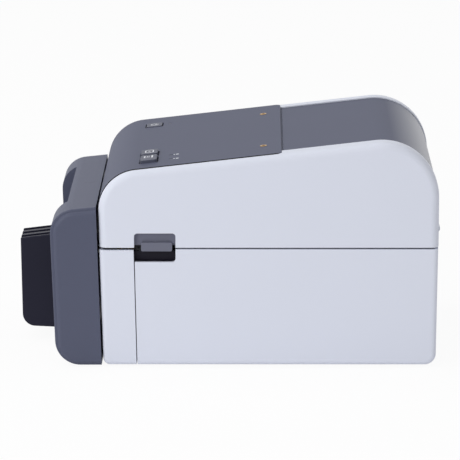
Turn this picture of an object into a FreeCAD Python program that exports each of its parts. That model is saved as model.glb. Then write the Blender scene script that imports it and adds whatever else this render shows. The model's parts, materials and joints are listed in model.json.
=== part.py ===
import FreeCAD, Part
import math
import os

# Desktop label printer: a tapered lower case, a cover hinged at the rear, and a label cutter
# fixed to the front. Millimetres, +Z up, the front faces -Y, and +X is on the right of
# someone facing the front. All shapes are drawn with the cover's front face near y = -85
# and are shifted at the end, so that the origin is under the middle of the whole machine.

# Body
HALF_WIDTH = 90.0
HEIGHT = 154.4
FOOT_HEIGHT = 1.5
SEAM_HEIGHT = 82.6
SEAM_GAP = 1.1
FRONT_SEAM_EXTRA = 0.6
FRONT_Y = -84.6
REAR_Y = 143.2
FRONT_LEAN = 1.5
REAR_LEAN = 0.6
CASE_STEP = 0.3
CASE_WALL = 2.5
CASE_FLOOR = 2.5
CASE_ROUND = 3.5
CASE_FRONT_RADIUS = 4.5
CASE_REAR_RADIUS = 7.5
CLEAR = 0.3
FIT = 0.05

# Cover
COVER_WALL = 3.2
COVER_ROUND = 5.5
TOP_SLOPE = 6.5
FRONT_ARC = 28.0
REAR_ARC = 38.0
PANEL_THICK = 1.5
PANEL_PROUD = 0.35
PANEL_SIDE_ROOM = 4.3
PANEL_GAP = 0.25
PANEL_BOTTOM_Z = 92.0
PANEL_CORNER = 3.5
PANEL_REAR_Y = 37.7
STRIP_FRONT_Y = 38.8
PANEL_LEDGE = 0.6
PANEL_LEDGE_GAP = 0.1
STRIP_HALF_WIDTH = 76.5
STRIP_SUNK = 0.7
STRIP_BOTTOM_Z = 90.0
LINER_GAP = 1.6
LINER_WALL = 1.6
LINER_FRONT_Y = -20.0
LINER_PEG_ROOM = 30.0
LINER_PEG_YS = (0.0, 90.0)

# Hinge at the rear
HINGE_Y = 143.9
HINGE_KNUCKLE_R = 3.3
HINGE_PIN_R = 1.5
HINGE_HALF_LENGTH = 30.0
HINGE_STEPS = 5

# Latch windows and levers, one on each side
WINDOW_FRONT_Y = -61.1
WINDOW_REAR_Y = -33.3
WINDOW_TOP_Z = 93.0
WINDOW_BOTTOM_Z = 73.3
WINDOW_RADIUS = 2.2
SPLIT_GAP = 0.6
SPLIT_SETBACK = 0.4
SPLIT_LEAN = 1.0
LATCH_Y = -44.0
LATCH_Z = 66.0
LATCH_SHAFT_R = 3.0
LATCH_PLATE = 2.2
LATCH_PLATE_BOTTOM_Z = 84.2
LATCH_PLATE_TOP_Z = 96.5
LIP_FRONT_Y = -56.4
LIP_REAR_Y = -35.6
LIP_TOP_Z = 86.6
LIP_BOTTOM_Z = 80.6
LIP_OUT = 0.4
LATCH_ARM = 3.5
LATCH_ARM_INSET = 6.0
CUP_DEPTH = 5.2
CUP_WALL = 1.2
CATCH_Y = -52.0
CATCH_Z = 90.5
CATCH_R = 2.0
HOOK_ROOM = 1.6
CATCH_LENGTH = 2.4

# Media bay and roll holders
ROLL_Y = 48.0
ROLL_Z = 78.0
BAY_REACH = 65.0
BAY_WALL = 2.0
DECK_TOP_Z = 82.0
DECK_FRONT_Y = -21.0
HOLDER_SIDE_ROOM = 7.5
HOLDER_THICK = 5.0
HOLDER_TRAVEL = 40.0
HUB_R = 12.4
HUB_LENGTH = 9.0
HUB_PIN_R = 4.0
RACK_MODULE = 1.0
RACK_PINION_TEETH = 16
RACK_THICK = 3.2
RACK_WIDTH = 7.0
RACK_PIN_R = 2.0
CHASSIS_THICK = 1.2
CHASSIS_SIDE_ROOM = 12.0
CHASSIS_REAR_Y = 112.0

# Printing unit
PLATEN_Y = -68.0
PLATEN_R = 9.0
LABEL_Z = 84.0
PLATEN_END_ROOM = 5.0
PLATEN_SHAFT_R = 3.0
BEARING_R = 6.0
FRAME_SIDE_ROOM = 28.0
FRAME_PLATE = 2.0
FRAME_FRONT_Y = -79.0
FRAME_REAR_Y = -23.0
GEAR_MODULE = 0.8
GEAR_WIDTH = 5.0
PLATEN_TEETH = 28
IDLER_TEETH = 40
MOTOR_TEETH = 14
MOTOR_SIZE = 42.0
MOTOR_LENGTH = 34.0
MOTOR_SHAFT_R = 2.5
IDLER_PIN_R = 2.5
IDLER_ANGLE = -70.0
MOTOR_ANGLE = -45.0
SENSOR_Y = -33.0
SENSOR_Z = 73.0
SENSOR_ROD_R = 2.0

# Print head
HEAD_END_ROOM = 1.0
HEAD_DEPTH = 16.0
HEAD_CERAMIC = 1.0
HEAD_SINK = 9.0
HEAD_GAP = 0.4
HEAD_SPRING_GAP = 0.7
HEAD_PIVOT_Y = -47.0
HEAD_PIVOT_Z = 99.4
HEAD_EAR_R = 3.2
HEAD_PIVOT_R = 2.0
BEAM_BOTTOM_Z = 103.2
BEAM_THICK = 3.0
BEAM_SIDE_ROOM = 16.5
BEAM_REAR_Y = -22.0
BEAM_POST_INSET = 5.5
BEAM_POST_YS = (-66.0, -27.0)

# Buttons and lamps on the top panel
BUTTON_FRONT_Y = -57.2
BUTTON_REAR_Y = -46.0
BUTTON_GAP = 0.8
BUTTON_TRAVEL = 0.8
BUTTON_FLANGE = 1.2
BUTTON_LEDGE = 1.6
POWER_BUTTON = (-1, 24.0, 36.5, 0.5)
FEED_BUTTON = (1, 41.0, 55.8, 2.0)
PRINT_BUTTON = (1, 20.0, 37.3, 2.0)
BUTTON_CORNER = 1.6
LAMPS = ((-1, 29.0, -40.6), (1, 38.5, -36.9), (1, 24.8, -36.7))
LAMP_R = 1.2
BOARD_DEPTH = 12.0
BOARD_THICK = 1.6
BOARD_CENTRE_Y = -47.0
BOARD_HALF_DEPTH = 13.0
BOARD_SIDE_ROOM = 16.2
BOARD_POST_R = 3.0
BOARD_POST_ROOM = 29.5
SWITCH_HEIGHT = 3.5
SWITCH_HALF_WIDTH = 3.0
BUTTON_STEM_R = 2.0
INSERT_SIDE_ROOM = 34.0
INSERT_Y = 25.7
INSERT_R = 2.3
INSERT_BORE_R = 1.25
INSERT_LENGTH = 6.0
INSERT_PROUD = 0.25

# Cutter unit
UNIT_SIDE_STEP = 1.0
UNIT_CHEEK = 1.8
UNIT_CHEEK_LOW = 1.3
UNIT_CHEEK_BACK = 1.3
UNIT_CHEEK_BOTTOM = 0.6
UNIT_GAP = 1.3
UNIT_DEPTH = 31.4
UNIT_TOP_Z = 110.5
UNIT_TOP_SLOPE = 6.0
UNIT_BOTTOM_Z = 1.0
UNIT_LEAN = 1.9
UNIT_FOOT_RADIUS = 17.0
UNIT_HEAD_RADIUS = 17.0
UNIT_ROUND = 3.6
UNIT_BODY_ROUND = 0.8
UNIT_WALL = 2.6
UNIT_SCREW_R = 2.0
UNIT_SCREW_HEAD_R = 3.6
UNIT_SCREW_ROOM = 13.0
UNIT_SCREW_ZS = (16.0, 70.0)
RECESS_SIDE = 2.3
RECESS_DEPTH = 10.0
RECESS_FLOOR_Z = 81.0
SLOT_SIDE = 4.0
SLOT_BOTTOM_Z = 82.2
SLOT_TOP_Z = 88.5
BLOCK_HALF_WIDTH = 15.0
BLOCK_REACH = 25.5
BLOCK_TOP_Z = 75.6
BLOCK_TOP_SLOPE = 7.0
BLOCK_BOTTOM_Z = 8.2
BLOCK_BOTTOM_SLOPE = 3.0
BLOCK_LEAN = 0.6
BLOCK_RADIUS = 9.0
BLOCK_WALL = 2.2
GROOVES = 3
GROOVE_WIDTH = 5.8
BLOCK_RIM = 1.8
GROOVE_DEPTH = 1.5
BLADE_THICK = 1.5
BLADE_TRAVEL = 9.0
BLADE_EDGE_Z = 87.0
BLADE_REST_Z = 80.5
BLADE_SIDE = 4.0
BLADE_HEIGHT = 10.0
CUT_PLATE_Y = -88.3
CUT_PLATE = 1.5
CUT_PLATE_SIDE_ROOM = 18.5
PLATE_POST_ROOM = 12.0
PLATE_POST_ZS = (27.0, 98.0)
CUT_MODULE = 1.0
CUT_SHAFT_Y = -106.0
CUT_SHAFT_Z = 58.0
CUT_SHAFT_R = 3.0
CUT_EAR_STEP = 5.0
CUT_IDLER_PIN_R = 2.0
CUT_PINION_TEETH = 12
CUT_PINION_STEP = 12.0
CUT_RACK_LOW_Z = 46.0
CUT_GEAR_TEETH = 22
CUT_IDLER_TEETH = 30
CUT_MOTOR_TEETH = 12
CUT_MOTOR_Y = -101.5
CUT_MOTOR_Z = 26.0
CUT_MOTOR_R = 10.0
CUT_MOTOR_SHAFT_R = 1.5
CUT_MOTOR_LENGTH = 36.0
CUT_GEAR_HALF_WIDTH = 4.0
GUIDE_ROD_ROOM = 8.5
GUIDE_ROD_ZS = (43.0, 98.0)
CARRIER_THICK = 6.0
CARRIER_ZS = (60.0, 78.0)
GUIDE_ROD_R = 2.0

# Main board and rear sockets: the middle in X, half width, half height and depth of each
BOARD_Y = 130.0
BOARD_SIDE_X = 14.0
BOARD_WIDTH = 116.0
BOARD_TOP_Z = 58.0
BOARD_LOW_Z = 30.0
SOCKET_Z = 20.0
SOCKET_WALL = 0.8
SOCKET_MOUTH = 9.0
SOCKETS = {
    "power_socket": (-62.0, 5.5, 5.5),
    "usb_device_socket": (-36.0, 6.0, 5.4),
    "network_socket": (-10.0, 8.0, 6.8),
    "usb_host_socket": (18.0, 6.6, 3.6),
}
TOOTH_PLAY = 0.12
VENTS = 10
VENT_PITCH = 8.0
VENT_LENGTH = 16.0
MEDIA_HALF_WIDTH = 58.0
MEDIA_BOTTOM_Z = 64.0
MEDIA_TOP_Z = 71.0

# Feet and floor screws
FOOT_R = 7.0
FOOT_SIDE_ROOM = 16.0
FOOT_YS = (-68.0, 126.0)
FLOOR_SCREW_ROOM = 20.0
FLOOR_SCREW_YS = (-40.0, 100.0)
SCREW_R = 1.5
SCREW_HEAD_R = 3.0

SLOPE = math.radians(TOP_SLOPE)
CASE_TOP_Z = SEAM_HEIGHT - SEAM_GAP / 2
COVER_BOTTOM_Z = SEAM_HEIGHT + SEAM_GAP / 2
HINGE_Z = SEAM_HEIGHT
PLATEN_Z = LABEL_Z - PLATEN_R
FLOOR_Z = FOOT_HEIGHT + CASE_FLOOR
CHASSIS_Z = FLOOR_Z + CHASSIS_THICK
PANEL_HALF_WIDTH = HALF_WIDTH - PANEL_SIDE_ROOM
CASE_INNER_X = HALF_WIDTH - CASE_WALL
FRAME_PLATE_X = HALF_WIDTH - FRAME_SIDE_ROOM
PLATEN_HALF_LENGTH = FRAME_PLATE_X - PLATEN_END_ROOM
HEAD_HALF_LENGTH = PLATEN_HALF_LENGTH - HEAD_END_ROOM
BAY_HALF_WIDTH = FRAME_PLATE_X
HOLDER_INNER_X = BAY_HALF_WIDTH - HOLDER_SIDE_ROOM
BEAM_HALF_WIDTH = HALF_WIDTH - BEAM_SIDE_ROOM
BEAM_POST_X = BEAM_HALF_WIDTH - BEAM_POST_INSET
BOARD_HALF_WIDTH = PANEL_HALF_WIDTH - BOARD_SIDE_ROOM
INSERT_X = HALF_WIDTH - INSERT_SIDE_ROOM
CHASSIS_HALF_WIDTH = HALF_WIDTH - CHASSIS_SIDE_ROOM
BOARD_LEFT_X = BOARD_SIDE_X - HALF_WIDTH
BOARD_RIGHT_X = BOARD_LEFT_X + BOARD_WIDTH
FOOT_X = HALF_WIDTH - FOOT_SIDE_ROOM
FLOOR_SCREW_X = HALF_WIDTH - FLOOR_SCREW_ROOM
UNIT_HALF_WIDTH = HALF_WIDTH - UNIT_SIDE_STEP
UNIT_BODY_HALF_WIDTH = UNIT_HALF_WIDTH - UNIT_CHEEK
UNIT_SCREW_X = UNIT_HALF_WIDTH - UNIT_SCREW_ROOM
CUT_PLATE_HALF_WIDTH = UNIT_HALF_WIDTH - CUT_PLATE_SIDE_ROOM
GUIDE_ROD_X = CUT_PLATE_HALF_WIDTH - GUIDE_ROD_ROOM
BLADE_HALF_WIDTH = GUIDE_ROD_X - BLADE_SIDE
SLOT_HALF_WIDTH = BLADE_HALF_WIDTH - SLOT_SIDE
RECESS_HALF_WIDTH = SLOT_HALF_WIDTH + RECESS_SIDE
CUT_EAR_X = GUIDE_ROD_X - CUT_EAR_STEP
CUT_PINION_X = GUIDE_ROD_X - CUT_PINION_STEP
UNIT_REAR_Y = FRONT_Y - UNIT_GAP
UNIT_FRONT_Y = UNIT_REAR_Y - UNIT_DEPTH
BLOCK_FRONT_Y = UNIT_FRONT_Y - BLOCK_REACH
CENTRE_Y = (HINGE_Y + HINGE_KNUCKLE_R + BLOCK_FRONT_Y) / 2


def box(x0, x1, y0, y1, z0, z1):
    return Part.makeBox(x1 - x0, y1 - y0, z1 - z0, FreeCAD.Vector(x0, y0, z0))


def rod_x(x0, x1, y, z, r):
    return Part.makeCylinder(r, x1 - x0, FreeCAD.Vector(x0, y, z), FreeCAD.Vector(1, 0, 0))


def rod_y(x, y0, y1, z, r):
    return Part.makeCylinder(r, y1 - y0, FreeCAD.Vector(x, y0, z), FreeCAD.Vector(0, 1, 0))


def rod_z(x, y, z0, z1, r):
    return Part.makeCylinder(r, z1 - z0, FreeCAD.Vector(x, y, z0), FreeCAD.Vector(0, 0, 1))


def joined(*shapes):
    result = shapes[0].fuse(list(shapes[1:])) if len(shapes) > 1 else shapes[0]
    return result.removeSplitter()


def both_sides(shape):
    return [shape, shape.mirror(FreeCAD.Vector(0, 0, 0), FreeCAD.Vector(1, 0, 0))]


def save(name, *solids):
    shape = Part.makeCompound(list(solids)) if len(solids) > 1 else solids[0]
    shape = shape.copy()
    shape.translate(FreeCAD.Vector(0, -CENTRE_Y, 0))
    shape.exportStep("parts/%s.step" % name)


def wire_yz(corners, x):
    """A closed outline in the plane at x, from (y, z, radius) corners."""
    edges = []
    ends = []
    count = len(corners)
    for i, (y, z, r) in enumerate(corners):
        here = FreeCAD.Vector(x, y, z)
        back = FreeCAD.Vector(x, *corners[i - 1][:2]) - here
        ahead = FreeCAD.Vector(x, *corners[(i + 1) % count][:2]) - here
        if r <= 0:
            ends.append((here, here))
            continue
        back.normalize()
        ahead.normalize()
        half = back.getAngle(ahead) / 2
        reach = r / math.tan(half)
        start = here + back * reach
        finish = here + ahead * reach
        middle = back + ahead
        middle.normalize()
        top = here + middle * (r / math.sin(half) - r)
        edges.append(Part.Arc(start, top, finish).toShape())
        ends.append((start, finish))
    for i in range(count):
        a = ends[i][1]
        b = ends[(i + 1) % count][0]
        if (b - a).Length > 1e-6:
            edges.append(Part.makeLine(a, b))
    return Part.Wire(Part.__sortEdges__(edges))


def prism_x(corners, x0, x1):
    face = Part.Face(wire_yz(corners, x0))
    return face.extrude(FreeCAD.Vector(x1 - x0, 0, 0))


def inset(corners, depths):
    """The outline moved inwards, side by side; side i runs from corner i to the next."""
    count = len(corners)
    area = sum(corners[i][0] * corners[(i + 1) % count][1]
               - corners[(i + 1) % count][0] * corners[i][1] for i in range(count))
    turn = 1.0 if area > 0 else -1.0
    lines = []
    for i in range(count):
        y0, z0 = corners[i][:2]
        y1, z1 = corners[(i + 1) % count][:2]
        length = math.hypot(y1 - y0, z1 - z0)
        uy, uz = (y1 - y0) / length, (z1 - z0) / length
        lines.append((y0 - uz * depths[i] * turn, z0 + uy * depths[i] * turn, uy, uz))
    result = []
    for i in range(count):
        ay, az, auy, auz = lines[i - 1]
        by, bz, buy, buz = lines[i]
        cross = auy * buz - auz * buy
        t = ((by - ay) * buz - (bz - az) * buy) / cross
        radius = corners[i][2]
        if radius > 0:
            radius = max(radius - max(depths[i - 1], depths[i]), 0.2)
        result.append((ay + auy * t, az + auz * t, radius))
    return result


def plan_block(half_width, y0, y1, z0, z1, radius):
    """An upright block with rounded corners at its rear."""
    block = box(-half_width, half_width, y0, y1, z0, z1)
    edges = [e for e in block.Edges if e.Length > (z1 - z0) - 1e-6
             and abs(e.CenterOfMass.y - y1) < 1e-6 and abs(e.CenterOfMass.z - (z0 + z1) / 2) < 1e-6]
    return block.makeFillet(radius, edges)


def rounded_block_x(x0, x1, y0, y1, z0, z1, radius):
    return prism_x([(y0, z0, radius), (y1, z0, radius), (y1, z1, radius), (y0, z1, radius)], x0, x1)


def soften_sides(shape, half_width, radius, keep):
    """Rounds the edges of the two side faces, except those for which keep is true."""
    edges = []
    for edge in shape.Edges:
        ends = edge.BoundBox
        if abs(abs(ends.XMin) - half_width) > 1e-4 or abs(ends.XMax - ends.XMin) > 1e-4:
            continue
        if not keep(edge.CenterOfMass):
            edges.append(edge)
    return shape.makeFillet(radius, edges)


def top_z(y):
    """Height of the cover's sloping top above the table."""
    centre_y = REAR_Y - REAR_ARC
    return HEIGHT - REAR_ARC + REAR_ARC / math.cos(SLOPE) + (y - centre_y) * math.tan(SLOPE)


def on_top(shape, y):
    """Places a shape drawn about the origin on the sloping top at y."""
    placed = shape.copy()
    placed.rotate(FreeCAD.Vector(0, 0, 0), FreeCAD.Vector(1, 0, 0), TOP_SLOPE)
    placed.translate(FreeCAD.Vector(0, y, top_z(y)))
    return placed


def case_front_y(z):
    return FRONT_Y + (SEAM_HEIGHT - z) * math.tan(math.radians(FRONT_LEAN))


def case_rear_y(z):
    return REAR_Y - CASE_STEP - (SEAM_HEIGHT - z) * math.tan(math.radians(REAR_LEAN))


def cover_corners():
    front_top_y = FRONT_Y - 1.0
    return [(FRONT_Y, COVER_BOTTOM_Z, 0), (front_top_y, top_z(front_top_y), FRONT_ARC),
            (REAR_Y, top_z(REAR_Y), REAR_ARC), (REAR_Y, COVER_BOTTOM_Z, 0)]


def cover_inside(depth, below=0.0):
    """The cover's outline moved in by depth, and its open bottom moved down by below."""
    return inset(cover_corners(), [depth, depth, depth, -below])


def case_corners():
    return [(case_front_y(CASE_TOP_Z), CASE_TOP_Z, 0),
            (case_front_y(FOOT_HEIGHT), FOOT_HEIGHT, CASE_FRONT_RADIUS),
            (case_rear_y(FOOT_HEIGHT), FOOT_HEIGHT, CASE_REAR_RADIUS),
            (case_rear_y(CASE_TOP_Z), CASE_TOP_Z, 0)]


def window_block(z0, z1, grow=0.0):
    """The latch window on the right side, as a block to cut with."""
    return rounded_block_x(HALF_WIDTH - 12, HALF_WIDTH + 2, WINDOW_FRONT_Y - grow,
                           WINDOW_REAR_Y + grow, z0 - grow, z1 + grow, WINDOW_RADIUS)


def knuckles(first, radius, slack=0.0):
    """Every other hinge knuckle, starting at the given step."""
    step = 2 * HINGE_HALF_LENGTH / HINGE_STEPS
    result = []
    for i in range(first, HINGE_STEPS, 2):
        x0 = -HINGE_HALF_LENGTH + i * step
        result.append(rod_x(x0 + CLEAR / 2 - slack, x0 + step - CLEAR / 2 + slack,
                            HINGE_Y, HINGE_Z, radius))
    return result


def gear(teeth, module, width, bore, phase, hub_r=0.0, hub_width=0.0):
    """A spur gear about the X axis, one tooth centred on the phase angle, with its bore."""
    pitch_r = teeth * module / 2
    tip_r = pitch_r + module * 0.95
    root_r = pitch_r - module * 1.25
    base_r = pitch_r * math.cos(math.radians(20))
    low_r = max(base_r, root_r)

    def involute(r):
        a = math.acos(min(1.0, base_r / r))
        return math.tan(a) - a

    half_at_pitch = math.pi / (2 * teeth) - TOOTH_PLAY / (2 * pitch_r)

    def half_angle(r):
        return half_at_pitch + involute(pitch_r) - involute(r)

    def at(r, angle):
        return FreeCAD.Vector(0, r * math.cos(angle), r * math.sin(angle))

    edges = []
    for i in range(teeth):
        mid = phase + 2 * math.pi * i / teeth
        after = phase + 2 * math.pi * (i + 1) / teeth
        middle_r = (low_r + tip_r) / 2
        rising = [at(r, mid - half_angle(r)) for r in (low_r, middle_r, tip_r)]
        falling = [at(r, mid + half_angle(r)) for r in (tip_r, middle_r, low_r)]
        root_in = at(root_r, mid - half_angle(low_r))
        root_out = at(root_r, mid + half_angle(low_r))
        next_in = at(root_r, after - half_angle(low_r))
        if low_r - root_r > 1e-4:
            edges.append(Part.makeLine(root_in, rising[0]))
        edges.append(Part.Arc(*rising).toShape())
        edges.append(Part.Arc(rising[2], at(tip_r, mid), falling[0]).toShape())
        edges.append(Part.Arc(*falling).toShape())
        if low_r - root_r > 1e-4:
            edges.append(Part.makeLine(falling[2], root_out))
        edges.append(Part.Arc(root_out, at(root_r, (mid + after) / 2), next_in).toShape())
    face = Part.Face(Part.Wire(edges))
    body = face.extrude(FreeCAD.Vector(width, 0, 0))
    if hub_width > 0:
        body = body.fuse(rod_x(-hub_width, 0.01, 0, 0, hub_r))
    return body.cut(rod_x(-hub_width - 1, width + 1, 0, 0, bore)).removeSplitter()


def mesh_phase(angle, own_teeth, other_teeth, other_phase):
    """Phase of a gear so that it meshes with another one that lies at the given angle."""
    offset = (angle + math.pi - other_phase) * other_teeth
    return angle - (math.pi - offset) / own_teeth


def rack(length, module, thick, width):
    """A straight rack along +X from the origin, teeth towards +Y, pitch line on y = 0."""
    pitch = math.pi * module
    count = int(length / pitch)
    low = -1.25 * module
    high = 0.95 * module
    slope = math.tan(math.radians(20))
    half = pitch / 4 - TOOTH_PLAY / 2
    points = [(0, low - width), (0, low)]
    for i in range(count):
        middle = (i + 0.5) * pitch
        points += [(middle - half + low * slope, low), (middle - half + high * slope, high),
                   (middle + half - high * slope, high), (middle + half - low * slope, low)]
    points += [(length, low), (length, low - width)]
    vectors = [FreeCAD.Vector(x, y, 0) for x, y in points]
    face = Part.Face(Part.makePolygon(vectors + vectors[:1]))
    return face.extrude(FreeCAD.Vector(0, 0, thick))


def centre_between(a, b, reach_a, reach_b, side):
    """The point at the given reaches from two centres, on one side of the line between."""
    dy, dz = b[0] - a[0], b[1] - a[1]
    span = math.hypot(dy, dz)
    along = (reach_a ** 2 - reach_b ** 2 + span ** 2) / (2 * span)
    off = math.sqrt(reach_a ** 2 - along ** 2) * side
    return (a[0] + (dy * along - dz * off) / span, a[1] + (dz * along + dy * off) / span)


os.makedirs("parts", exist_ok=True)


# Cover

def cover_shell():
    shell = prism_x(cover_corners(), -HALF_WIDTH, HALF_WIDTH)
    shell = soften_sides(shell, HALF_WIDTH, COVER_ROUND, lambda c: c.z < COVER_BOTTOM_Z + 0.01)
    inner = HALF_WIDTH - COVER_WALL
    shell = shell.cut(prism_x(cover_inside(COVER_WALL, 1.0), -inner, inner))
    skin = prism_x(cover_inside(-1.0), -HALF_WIDTH, HALF_WIDTH)
    ledge_room = box(-STRIP_HALF_WIDTH - PANEL_GAP, STRIP_HALF_WIDTH + PANEL_GAP, PANEL_REAR_Y - 4,
                     STRIP_FRONT_Y, PANEL_BOTTOM_Z, HEIGHT + 5)
    for region, depth in (front_region(PANEL_GAP), rear_region(PANEL_GAP), (ledge_room, PANEL_THICK)):
        band = skin.cut(prism_x(cover_inside(depth, 5.0), -HALF_WIDTH, HALF_WIDTH))
        shell = shell.cut(band.common(region))
    shell = shell.cut(both_sides(window_block(SEAM_HEIGHT - 20, WINDOW_TOP_Z)))
    slot = box(-SLOT_HALF_WIDTH - 4, SLOT_HALF_WIDTH + 4, FRONT_Y - 2, FRONT_Y + 8,
               SEAM_HEIGHT - 5, SLOT_TOP_Z + 2)
    shell = shell.cut(slot)
    add = insert_bosses() + board_posts() + beam_posts()
    shell = shell.fuse(add)
    holes = button_openings() + lamp_holes() + insert_holes()
    shell = shell.cut(holes)
    shell = shell.cut(knuckles(0, HINGE_KNUCKLE_R + 0.4, 0.3))
    shell = shell.fuse(knuckles(1, HINGE_KNUCKLE_R))
    return shell.cut([hinge_bore()] + hinge_end_reliefs()).removeSplitter()


def front_region(grow):
    """Where the dark front panel lies, seen from above, and its pocket's depth."""
    half = PANEL_HALF_WIDTH + grow
    region = plan_block(half, FRONT_Y - 10, PANEL_REAR_Y + grow, PANEL_BOTTOM_Z - grow,
                        HEIGHT + 5, PANEL_CORNER)
    return region, PANEL_THICK


def rear_region(grow):
    region = box(-STRIP_HALF_WIDTH - grow, STRIP_HALF_WIDTH + grow, STRIP_FRONT_Y - grow,
                 REAR_Y + 10, STRIP_BOTTOM_Z - grow, HEIGHT + 5)
    return region, PANEL_THICK + STRIP_SUNK


def band_of(outer_depth, inner_depth, half_width):
    outer = prism_x(cover_inside(outer_depth), -half_width, half_width)
    return outer.cut(prism_x(cover_inside(inner_depth, 5.0), -half_width - 1, half_width + 1))


def front_panel():
    """Dark panel with a low ledge that closes the joint to the rear strip from below."""
    panel = band_of(-PANEL_PROUD, PANEL_THICK, HALF_WIDTH).common(front_region(0.0)[0])
    ledge = band_of(PANEL_THICK - PANEL_LEDGE, PANEL_THICK, HALF_WIDTH).common(
        box(-STRIP_HALF_WIDTH, STRIP_HALF_WIDTH, PANEL_REAR_Y - 2, STRIP_FRONT_Y - PANEL_LEDGE_GAP,
            PANEL_BOTTOM_Z, HEIGHT + 5))
    panel = panel.fuse(ledge)
    return panel.cut(button_openings() + lamp_holes() + insert_holes())


def rear_strip():
    return band_of(STRIP_SUNK, STRIP_SUNK + PANEL_THICK, HALF_WIDTH).common(rear_region(0.0)[0])


def button_sides(spec):
    """The button's ends, from its distances to the nearer side of the machine."""
    side, near, far, rise = spec
    x0, x1 = sorted((side * (HALF_WIDTH - near), side * (HALF_WIDTH - far)))
    return x0, x1, rise + PANEL_PROUD


def button_opening(spec):
    x0, x1, rise = button_sides(spec)
    half = (BUTTON_REAR_Y - BUTTON_FRONT_Y) / 2
    block = box(x0 - BUTTON_GAP / 2, x1 + BUTTON_GAP / 2, -half - BUTTON_GAP, half + BUTTON_GAP,
                -COVER_WALL - 1, rise + 2)
    return on_top(block, (BUTTON_FRONT_Y + BUTTON_REAR_Y) / 2)


def button_openings():
    return [button_opening(b) for b in (POWER_BUTTON, FEED_BUTTON, PRINT_BUTTON)]


def button(spec):
    """A cap with a flange under the cover and a stem down to its switch."""
    x0, x1, rise = button_sides(spec)
    half = (BUTTON_REAR_Y - BUTTON_FRONT_Y) / 2
    cap = box(x0, x1, -half, half, -COVER_WALL - 0.5, rise)
    upright = [e for e in cap.Edges if abs(e.BoundBox.ZLength - (rise + COVER_WALL + 0.5)) < 1e-6]
    cap = cap.makeFillet(BUTTON_CORNER, upright)
    rim = [e for e in cap.Edges if e.BoundBox.ZMin > rise - 1e-6]
    cap = cap.makeFillet(0.4, rim)
    under = -COVER_WALL - CLEAR
    flange = box(x0, x1, -half - BUTTON_LEDGE, half + BUTTON_LEDGE, under - BUTTON_FLANGE, under)
    middle = (x0 + x1) / 2
    stem = rod_z(middle, 0, -BOARD_DEPTH + SWITCH_HEIGHT + BUTTON_TRAVEL + 0.2,
                 under - BUTTON_FLANGE / 2, BUTTON_STEM_R)
    return on_top(joined(cap, flange, stem), (BUTTON_FRONT_Y + BUTTON_REAR_Y) / 2)


def lamp_places():
    return [(side * (HALF_WIDTH - near), y) for side, near, y in LAMPS]


def lamp_holes():
    return [on_top(rod_z(x, 0, -COVER_WALL - 1, 1, LAMP_R + FIT), y) for x, y in lamp_places()]


def light_pipes():
    top = PANEL_PROUD - 0.2
    return [on_top(rod_z(x, 0, -BOARD_DEPTH + BOARD_THICK + CLEAR, top, LAMP_R), y)
            for x, y in lamp_places()]


def insert_bosses():
    boss = rod_z(0, 0, -INSERT_LENGTH - 3, -PANEL_THICK - 0.5, INSERT_R + 1.8)
    return [on_top(moved_x(boss, x), INSERT_Y) for x in (-INSERT_X, INSERT_X)]


def insert_holes():
    hole = rod_z(0, 0, -INSERT_LENGTH - 0.5, 1, INSERT_R)
    return [on_top(moved_x(hole, x), INSERT_Y) for x in (-INSERT_X, INSERT_X)]


def brass_inserts():
    tube = rod_z(0, 0, -INSERT_LENGTH - 0.5, PANEL_PROUD + INSERT_PROUD, INSERT_R)
    tube = tube.cut(rod_z(0, 0, -INSERT_LENGTH - 0.4, 1, INSERT_BORE_R))
    return [on_top(moved_x(tube, x), INSERT_Y) for x in (-INSERT_X, INSERT_X)]


def moved_x(shape, x):
    placed = shape.copy()
    placed.translate(FreeCAD.Vector(x, 0, 0))
    return placed


def board_post_places():
    reach = BOARD_HALF_DEPTH - BOARD_POST_R
    side = BOARD_HALF_WIDTH - BOARD_POST_ROOM
    return [(-side, -reach), (15.0, -reach), (-side, reach), (0.0, reach), (side, reach)]


def board_posts():
    post = rod_z(0, 0, -BOARD_DEPTH + BOARD_THICK, -COVER_WALL + 0.5, BOARD_POST_R)
    return [on_top(post.translated(FreeCAD.Vector(x, y, 0)), BOARD_CENTRE_Y)
            for x, y in board_post_places()]


def panel_board():
    """The switch board under the top panel, with its three switches."""
    low = -BOARD_DEPTH
    board = box(-BOARD_HALF_WIDTH, BOARD_HALF_WIDTH, -BOARD_HALF_DEPTH, BOARD_HALF_DEPTH,
                low, low + BOARD_THICK)
    middle_y = (BUTTON_FRONT_Y + BUTTON_REAR_Y) / 2 - BOARD_CENTRE_Y
    half = SWITCH_HALF_WIDTH
    switches = []
    for spec in (POWER_BUTTON, FEED_BUTTON, PRINT_BUTTON):
        x = sum(button_sides(spec)[:2]) / 2
        switches.append(box(x - half, x + half, middle_y - half, middle_y + half,
                            low + BOARD_THICK, low + SWITCH_HEIGHT))
    return on_top(joined(board, *switches), BOARD_CENTRE_Y)


def panel_screws():
    head = -BOARD_DEPTH - 1.8
    return [on_top(rod_z(x, y, head, -BOARD_DEPTH, 2.4), BOARD_CENTRE_Y)
            for x, y in board_post_places()]


# Print head, carried by a steel beam inside the cover

def beam_front_y():
    return FRONT_Y + COVER_WALL + 2.0


def beam_posts():
    room = prism_x(cover_inside(COVER_WALL - 0.5), -HALF_WIDTH, HALF_WIDTH)
    return [box(x - 3, x + 3, y - 4, y + 4, BEAM_BOTTOM_Z + BEAM_THICK, HEIGHT).common(room)
            for x in (-BEAM_POST_X, BEAM_POST_X) for y in BEAM_POST_YS]


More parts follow.
